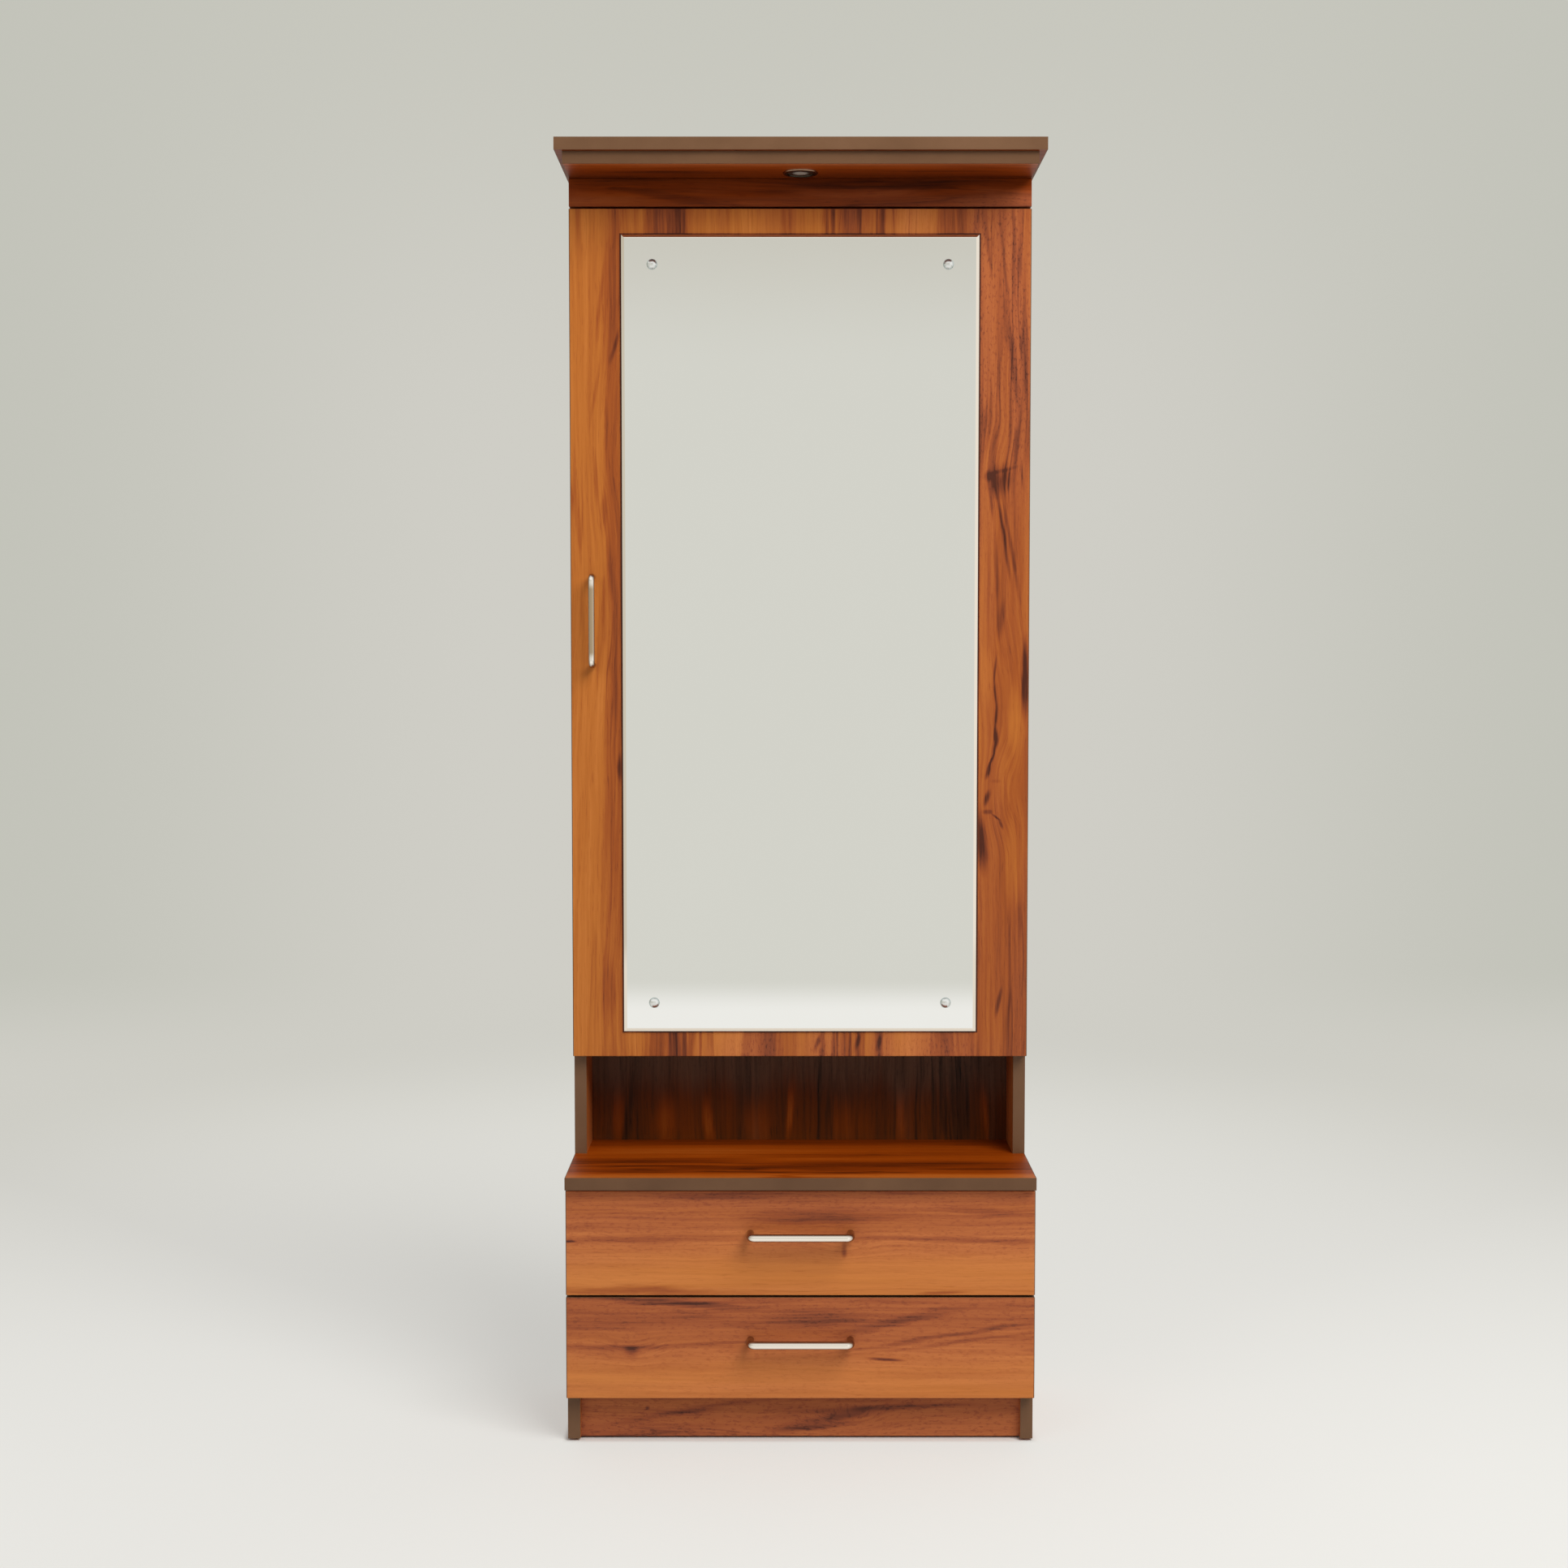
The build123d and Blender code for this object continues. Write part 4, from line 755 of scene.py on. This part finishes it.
def handle_metal(name, brush_waves, reflection_node=None):
    """Polished nickel, bright in front, brown on its flanks as painted shade and reflection, and with a
    painted tan reflection at the middle of one node.
    """
    material, graph = new_material(name)
    core = HANDLE_CORE
    # Painted tan reflection at the middle of the node
    if reflection_node:
        low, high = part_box(reflection_node)
        off_middle = graph.math("SUBTRACT", graph.split(graph.place())[2], (low[2] + high[2]) / 2.0)
        clear_of_reflection = graph.fade(graph.math("ABSOLUTE", off_middle), *HANDLE_TAN_REFLECTION_REACH)
        core = graph.mix(clear_of_reflection, HANDLE_TAN_REFLECTION, core)
    # Brown flanks: painted shade and reflection
    colour = graph.mix(graph.facing(*HANDLE_FACING), HANDLE_FLANK_SHADE_AND_REFLECTION, core)
    polish(graph, colour, HANDLE_ROUGH, brush_waves, HANDLE_WEAR)
    return material


CAP_CORE = (0.84, 0.85, 0.835)
# Darker colour of the caps' flanks: painted reflection
CAP_FLANK_REFLECTION = (0.42, 0.49, 0.48)
CAP_FACING = (0.35, 0.85)
CAP_BRUSH = 900.0
CAP_ROUGH = 0.3
CAP_WEAR = 0.04


def cap_metal():
    """Chrome of the mirror's screw caps, darker on their flanks as a painted reflection."""
    material, graph = new_material("cap_metal")
    colour = graph.mix(graph.facing(*CAP_FACING), CAP_FLANK_REFLECTION, CAP_CORE)
    polish(graph, colour, CAP_ROUGH, CAP_BRUSH, CAP_WEAR)
    return material


# Dark colour of the ring: painted reflection of the wood
BEZEL_DARK_REFLECTION = (0.12, 0.1, 0.07)
BEZEL_PALE = (0.4, 0.28, 0.19)
BEZEL_RIM = (0.88, 0.96)
BEZEL_BRUSH = 1200.0
BEZEL_ROUGH = 0.2


def bezel_metal():
    """The light's ring: dark as a painted reflection of the wood round it, with a thin pale rim."""
    material, graph = new_material("bezel_metal")
    at_rim = graph.fade(graph.off_axis(*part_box("downlight_bezel")), *BEZEL_RIM)
    polish(graph, graph.mix(at_rim, BEZEL_DARK_REFLECTION, BEZEL_PALE), BEZEL_ROUGH, BEZEL_BRUSH)
    return material


CLOUD_SPAN = (0.3, 0.7)
PLASTIC_GRAIN = 1400.0
PLASTIC_CLOUDS = 60.0
PLASTIC_LIGHT = 1.6
PLASTIC_LIFT = 0.004
PLASTIC_ROUGH = (0.42, 0.56)
PLASTIC_BUMP = (0.12, 0.0002)


def plastic(name, colour):
    """Moulded plastic with a fine spark-eroded grain."""
    material, graph = new_material(name)
    clouds = graph.texture(PLASTIC_CLOUDS)
    light = tuple(part * PLASTIC_LIGHT + PLASTIC_LIFT for part in colour)
    principled(
        graph,
        Base_Color=graph.mix(clouds, colour, light),
        Roughness=graph.fade(clouds, *CLOUD_SPAN, *PLASTIC_ROUGH),
        Normal=graph.bump(graph.texture(PLASTIC_GRAIN), *PLASTIC_BUMP),
    )
    return material


MIRROR_SILVER = ((0.93, 0.935, 0.925), (0.95, 0.952, 0.946))
MIRROR_BEVEL = (0.86, 0.78, 0.68)
MIRROR_EDGE = (0.62, 0.74, 0.68)
MIRROR_FACING = (0.5, 0.9)
MIRROR_FLAT = (0.965, 0.995)
MIRROR_FILM = (5.0, 5.0, 3.0)
MIRROR_METALLIC = (0.35, 1.0)
MIRROR_ROUGH = (0.0, 0.006)


def mirror_glass():
    """Silvered glass: a clear mirror on its face, green glass at its cut edges."""
    material, graph = new_material("mirror_glass")
    facing = graph.facing(*MIRROR_FACING)
    film = graph.texture(MIRROR_FILM, detail=4.0, roughness=0.6)
    silver = graph.mix(graph.facing(*MIRROR_FLAT), MIRROR_BEVEL, graph.mix(film, *MIRROR_SILVER))
    principled(
        graph,
        Base_Color=graph.mix(facing, MIRROR_EDGE, silver),
        Metallic=graph.fade(facing, 0.0, 1.0, *MIRROR_METALLIC),
        Roughness=graph.fade(film, *CLOUD_SPAN, *MIRROR_ROUGH),
    )
    return material


# Pale middle of the cover: painted reflection
LENS_MIDDLE_REFLECTION = (0.42, 0.38, 0.33)
LENS_DARK = ((0.012, 0.011, 0.008), (0.03, 0.027, 0.02))
LENS_CENTRE = (0.3, 0.7)
LENS_PRISMS = 700.0
LENS_HAZE = 90.0
LENS_ROUGH = (0.05, 0.16)
LENS_IOR = 1.49
LENS_BUMP = (0.1, 0.0003)


def lens_glass():
    """The light's cover, dark while the light is off, with a painted pale reflection at its middle."""
    material, graph = new_material("lens_glass")
    haze = graph.texture(LENS_HAZE)
    off_centre = graph.fade(graph.off_axis(*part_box("downlight_lens")), *LENS_CENTRE)
    principled(
        graph,
        Base_Color=graph.mix(off_centre, LENS_MIDDLE_REFLECTION, graph.mix(haze, *LENS_DARK)),
        Roughness=graph.fade(haze, *CLOUD_SPAN, *LENS_ROUGH),
        IOR=LENS_IOR,
        Normal=graph.bump(graph.texture(LENS_PRISMS, detail=1.0), *LENS_BUMP),
    )
    return material


# The door's wood carries a painted contact shadow round the mirror
laminate_door = wood(
    "laminate_door", "Z", "X", seed=1.0, tone=0.31, rosy=(0.0, 0.35), figure=DOOR_FIGURE,
    bulges=DOOR_BULGES, blush=DOOR_BLUSH, face="door_panel", rim="door_panel", shadow_from="mirror",
)
laminate_upper = wood(
    "laminate_upper_drawer", "X", "Z", seed=2.0, tone=0.22, rosy=(0.9, 0.9), figure=UPPER_DRAWER_FIGURE,
    bulges=UPPER_DRAWER_BULGES, blush=UPPER_DRAWER_BLUSH, contrast=0.5, rim="upper_drawer_front",
)
laminate_lower = wood(
    "laminate_lower_drawer", "X", "Z", seed=3.0, tone=0.24, rosy=(0.95, 0.95), figure=LOWER_DRAWER_FIGURE,
    bulges=LOWER_DRAWER_BULGES, blush=LOWER_DRAWER_BLUSH, contrast=0.5, rim="lower_drawer_front",
)
laminate_plinth = wood(
    "laminate_plinth", "X", "Z", seed=4.0, tone=0.36, rosy=(1.0, 1.0), figure=PLINTH_FIGURE,
    bulges=PLINTH_BULGES, contrast=0.7,
)
# The fascia's dark tone is partly the board's own and partly painted shade under the canopy
laminate_fascia = wood(
    "laminate_fascia", "X", "Z", seed=5.0, tone=0.53, rosy=(0.1, 0.1), figure=FASCIA_FIGURE,
    blush=FASCIA_BLUSH, contrast=0.6, tones=DUSKY, specular=0.1,
)
# The base top's deep tone is partly the board's own and partly painted shade of the niche
laminate_base_top = wood(
    "laminate_base_top", "X", "Y", seed=6.0, tone=0.42, rosy=(0.0, 0.0), figure=BASE_TOP_FIGURE,
    contrast=1.25, tones=DEEP, specular=0.1,
)
laminate_canopy = wood(
    "laminate_canopy", "X", "Y", seed=11.0, tone=0.5, rosy=(0.0, 0.0), figure=CANOPY_FIGURE,
    blush=CANOPY_BLUSH, contrast=0.8, tones=DUSKY,
)
laminate_top = wood(
    "laminate_top", "X", "Y", seed=12.0, tone=0.5, rosy=(0.0, 0.0), contrast=0.8, tones=DEEP
)
laminate_sides = wood("laminate_sides", "Z", "Y", seed=7.0, tone=0.42, rosy=(0.4, 0.4))
laminate_shelves = wood("laminate_shelves", "X", "Y", seed=8.0, tone=0.4, rosy=(0.3, 0.3), contrast=0.8)
# The back's dark tone is partly dark wood and partly painted shade of the niche
laminate_back = wood(
    "laminate_back", "Z", "X", seed=9.0, tone=0.6, rosy=(0.0, 0.0), figure=BACK_FIGURE, blush=BACK_BLUSH,
    contrast=0.8, tones=DARK, specular=0.08, speckle=0.2, face="cabinet_back",
)
band_brown = edge_band("edge_band")
# The bands under the canopy's top board are darker: painted shade of its overhang
band_top = edge_band("edge_band_top", "canopy_top_board")
drawer_board = plain_board("drawer_board", (0.45, 0.3, 0.17), chip_waves=420.0)
hardboard = plain_board("hardboard", (0.2, 0.11, 0.06), chip_waves=900.0)
drawer_nickel = handle_metal("drawer_nickel", (300.0, 1600.0, 1600.0))
door_nickel = handle_metal("door_nickel", (1600.0, 1600.0, 300.0), "door_handle")
zinc = metal("zinc_steel", (0.62, 0.63, 0.64), rough=0.34, brush_waves=(1500.0, 220.0, 1500.0))
lamp_metal = metal("lamp_metal", (0.75, 0.75, 0.76), rough=0.2, brush_waves=1200.0)
black_plastic = plastic("black_plastic", (0.018, 0.018, 0.019))
beech = wood("beech", "Z", "X", seed=10.0, tone=0.2, rosy=(0.0, 0.0), contrast=0.4, tones=BEECH)

BY_SLOT = {
    "edge_band": band_brown,
    "drawer_board": drawer_board,
    "hardboard": hardboard,
    "mirror": mirror_glass(),
    "handle_metal": drawer_nickel,
    "chrome": cap_metal(),
    "zinc_steel": zinc,
    "lens": lens_glass(),
    "lamp_metal": lamp_metal,
    "black_plastic": black_plastic,
    "beech": beech,
    "laminate": laminate_shelves,
}
BY_NODE = {
    "door_panel": laminate_door,
    "upper_drawer_front": laminate_upper,
    "lower_drawer_front": laminate_lower,
    "plinth": laminate_plinth,
    "fascia": laminate_fascia,
    "base_top": laminate_base_top,
    "canopy_light_board": laminate_canopy,
    "canopy_top_board": laminate_top,
    "base_side_left": laminate_sides,
    "base_side_right": laminate_sides,
    "cabinet_side_left": laminate_sides,
    "cabinet_side_right": laminate_sides,
    "cabinet_back": laminate_back,
    "door_handle": door_nickel,
    "downlight_bezel": bezel_metal(),
    "top_edge_bands": band_top,
}


def dress_nodes():
    """Gives every piece its material, by its own name or by its slot."""
    for entry in frame["record"]["subparts"]:
        mesh = frame["nodes"][entry["node"]].data
        material = BY_NODE.get(entry["node"], BY_SLOT[entry["material_slot"]])
        mesh.materials.clear()
        mesh.materials.append(material)


def seen_directly(graph):
    """1 for what the camera sees, itself or in gloss or glass, and 0 for what only lights."""
    path = graph.add("ShaderNodeLightPath").outputs
    kinds = ("Is Camera Ray", "Is Glossy Ray", "Is Transmission Ray")
    return graph.math("MINIMUM", graph.total([path[kind] for kind in kinds]), 1.0)


def floor_material():
    """A pale floor with faint mottling that fades out towards its edges."""
    material, graph = new_material("studio_floor")
    parts = graph.split(graph.place())
    mottle = graph.texture(FLOOR_MOTTLE, detail=6.0, roughness=0.65)
    colour = graph.mix(mottle, shade(FLOOR_COLOUR, FLOOR_MOTTLE_SHADE), FLOOR_COLOUR)
    paint = graph.add("ShaderNodeBsdfDiffuse", {"Color": colour}).outputs[0]
    far = graph.math("MULTIPLY_ADD", graph.math("MULTIPLY", parts[0], parts[0]), FLOOR_CURVE, parts[1])
    tint = graph.mix(graph.fade(far, *FLOOR_FADE), FLOOR_NEAR, FLOOR_FAR)
    glow = graph.add("ShaderNodeEmission", {"Color": tint}).outputs[0]
    base_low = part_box("base_side_left")[0]
    base_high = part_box("base_side_right")[1]
    away = graph.outside(base_low, base_high, PLAN_AXES)
    glow_share = graph.fade(away, *FLOOR_GLOW_REACH, *FLOOR_GLOW)
    clear_of_base = graph.fade(away, *FLOOR_UNDER)
    share = graph.chain("MULTIPLY", [seen_directly(graph), glow_share, clear_of_base])
    paint = graph.mix_shaders(share, paint, glow)
    clear = graph.add("ShaderNodeBsdfTransparent").outputs[0]
    behind = graph.fade(parts[1], *FLOOR_BEHIND)
    before = graph.fade(graph.math("MULTIPLY", parts[1], -1.0), *FLOOR_BEFORE)
    beside = graph.fade(graph.math("ABSOLUTE", parts[0]), *FLOOR_BESIDE)
    gone = graph.chain("MAXIMUM", [behind, before, beside])
    show(graph, graph.mix_shaders(gone, paint, clear))
    return material


def make_floor():
    """The studio floor under the cabinet."""
    corners = [(x * FLOOR_HALF, y * FLOOR_HALF, 0.0) for x, y in ((-1, -1), (1, -1), (1, 1), (-1, 1))]
    mesh = bpy.data.meshes.new("studio_floor")
    mesh.from_pydata(corners, [], [(0, 1, 2, 3)])
    mesh.materials.append(floor_material())
    floor = bpy.data.objects.new("studio_floor", mesh)
    bpy.context.scene.collection.objects.link(floor)


def make_world():
    """A plain grey room, seen by the camera and in gloss, and an even light for all else."""
    world = bpy.data.worlds.new("studio")
    world.use_nodes = True
    world.node_tree.nodes.clear()
    graph = Graph(world.node_tree)
    look = graph.split(graph.add("ShaderNodeTexCoord").outputs["Generated"])
    aside = graph.math("ABSOLUTE", look[0])
    behind = graph.mix(graph.fade(look[2], *ROOM_RISE), ROOM_BEHIND, ROOM_HIGH)
    behind = graph.mix(graph.fade(aside, *ROOM_ASIDE), behind, ROOM_EDGE)
    before = graph.mix(graph.fade(look[2], *ROOM_BEFORE_RISE), ROOM_BEFORE, ROOM_BEFORE_HIGH)
    bright = [graph.fade(look[0], *ROOM_BRIGHT_ASIDE), graph.fade(look[2], *ROOM_BRIGHT_RISE)]
    in_gloss = graph.add("ShaderNodeLightPath").outputs["Is Glossy Ray"]
    before = graph.mix(graph.math("MULTIPLY", graph.chain("MAXIMUM", bright), in_gloss), before, ROOM_BRIGHT)
    seen = graph.mix(graph.fade(look[1], *ROOM_TURN), behind, before)
    room = graph.add("ShaderNodeBackground", {"Color": seen}).outputs[0]
    ambient = graph.mix(graph.fade(look[1], *AMBIENT_TURN), AMBIENT, AMBIENT_BEHIND)
    light = graph.add("ShaderNodeBackground", {"Color": ambient}).outputs[0]
    mixed = graph.mix_shaders(seen_directly(graph), light, room)
    graph.add("ShaderNodeOutputWorld", {"Surface": mixed})
    bpy.context.scene.world = world


def make_lamps():
    """Two soft boxes: a key from the upper right and a weak fill from the left."""
    for lamp in LAMPS:
        light = bpy.data.lights.new(lamp.name, "AREA")
        light.size = lamp.size
        light.energy = lamp.watts
        holder = bpy.data.objects.new(lamp.name, light)
        holder.location = lamp.place
        towards = [aim - place for aim, place in zip(lamp.aim, lamp.place)]
        pitch = math.atan2(math.hypot(*towards[:2]), -towards[2])
        holder.rotation_euler = (pitch, 0.0, math.atan2(-towards[0], towards[1]))
        holder.visible_glossy = False
        bpy.context.scene.collection.objects.link(holder)


def make_camera():
    """The camera at the photograph's place."""
    lens = bpy.data.cameras.new("camera")
    lens.lens = CAMERA_LENS
    lens.sensor_width = CAMERA_SENSOR
    camera = bpy.data.objects.new("camera", lens)
    camera.location = CAMERA_PLACE
    camera.rotation_euler = (math.radians(CAMERA_PITCH), 0.0, 0.0)
    bpy.context.scene.collection.objects.link(camera)
    bpy.context.scene.camera = camera


dress_nodes()
make_floor()
make_world()
make_lamps()
make_camera()
bpy.context.scene.view_settings.view_transform = "Standard"
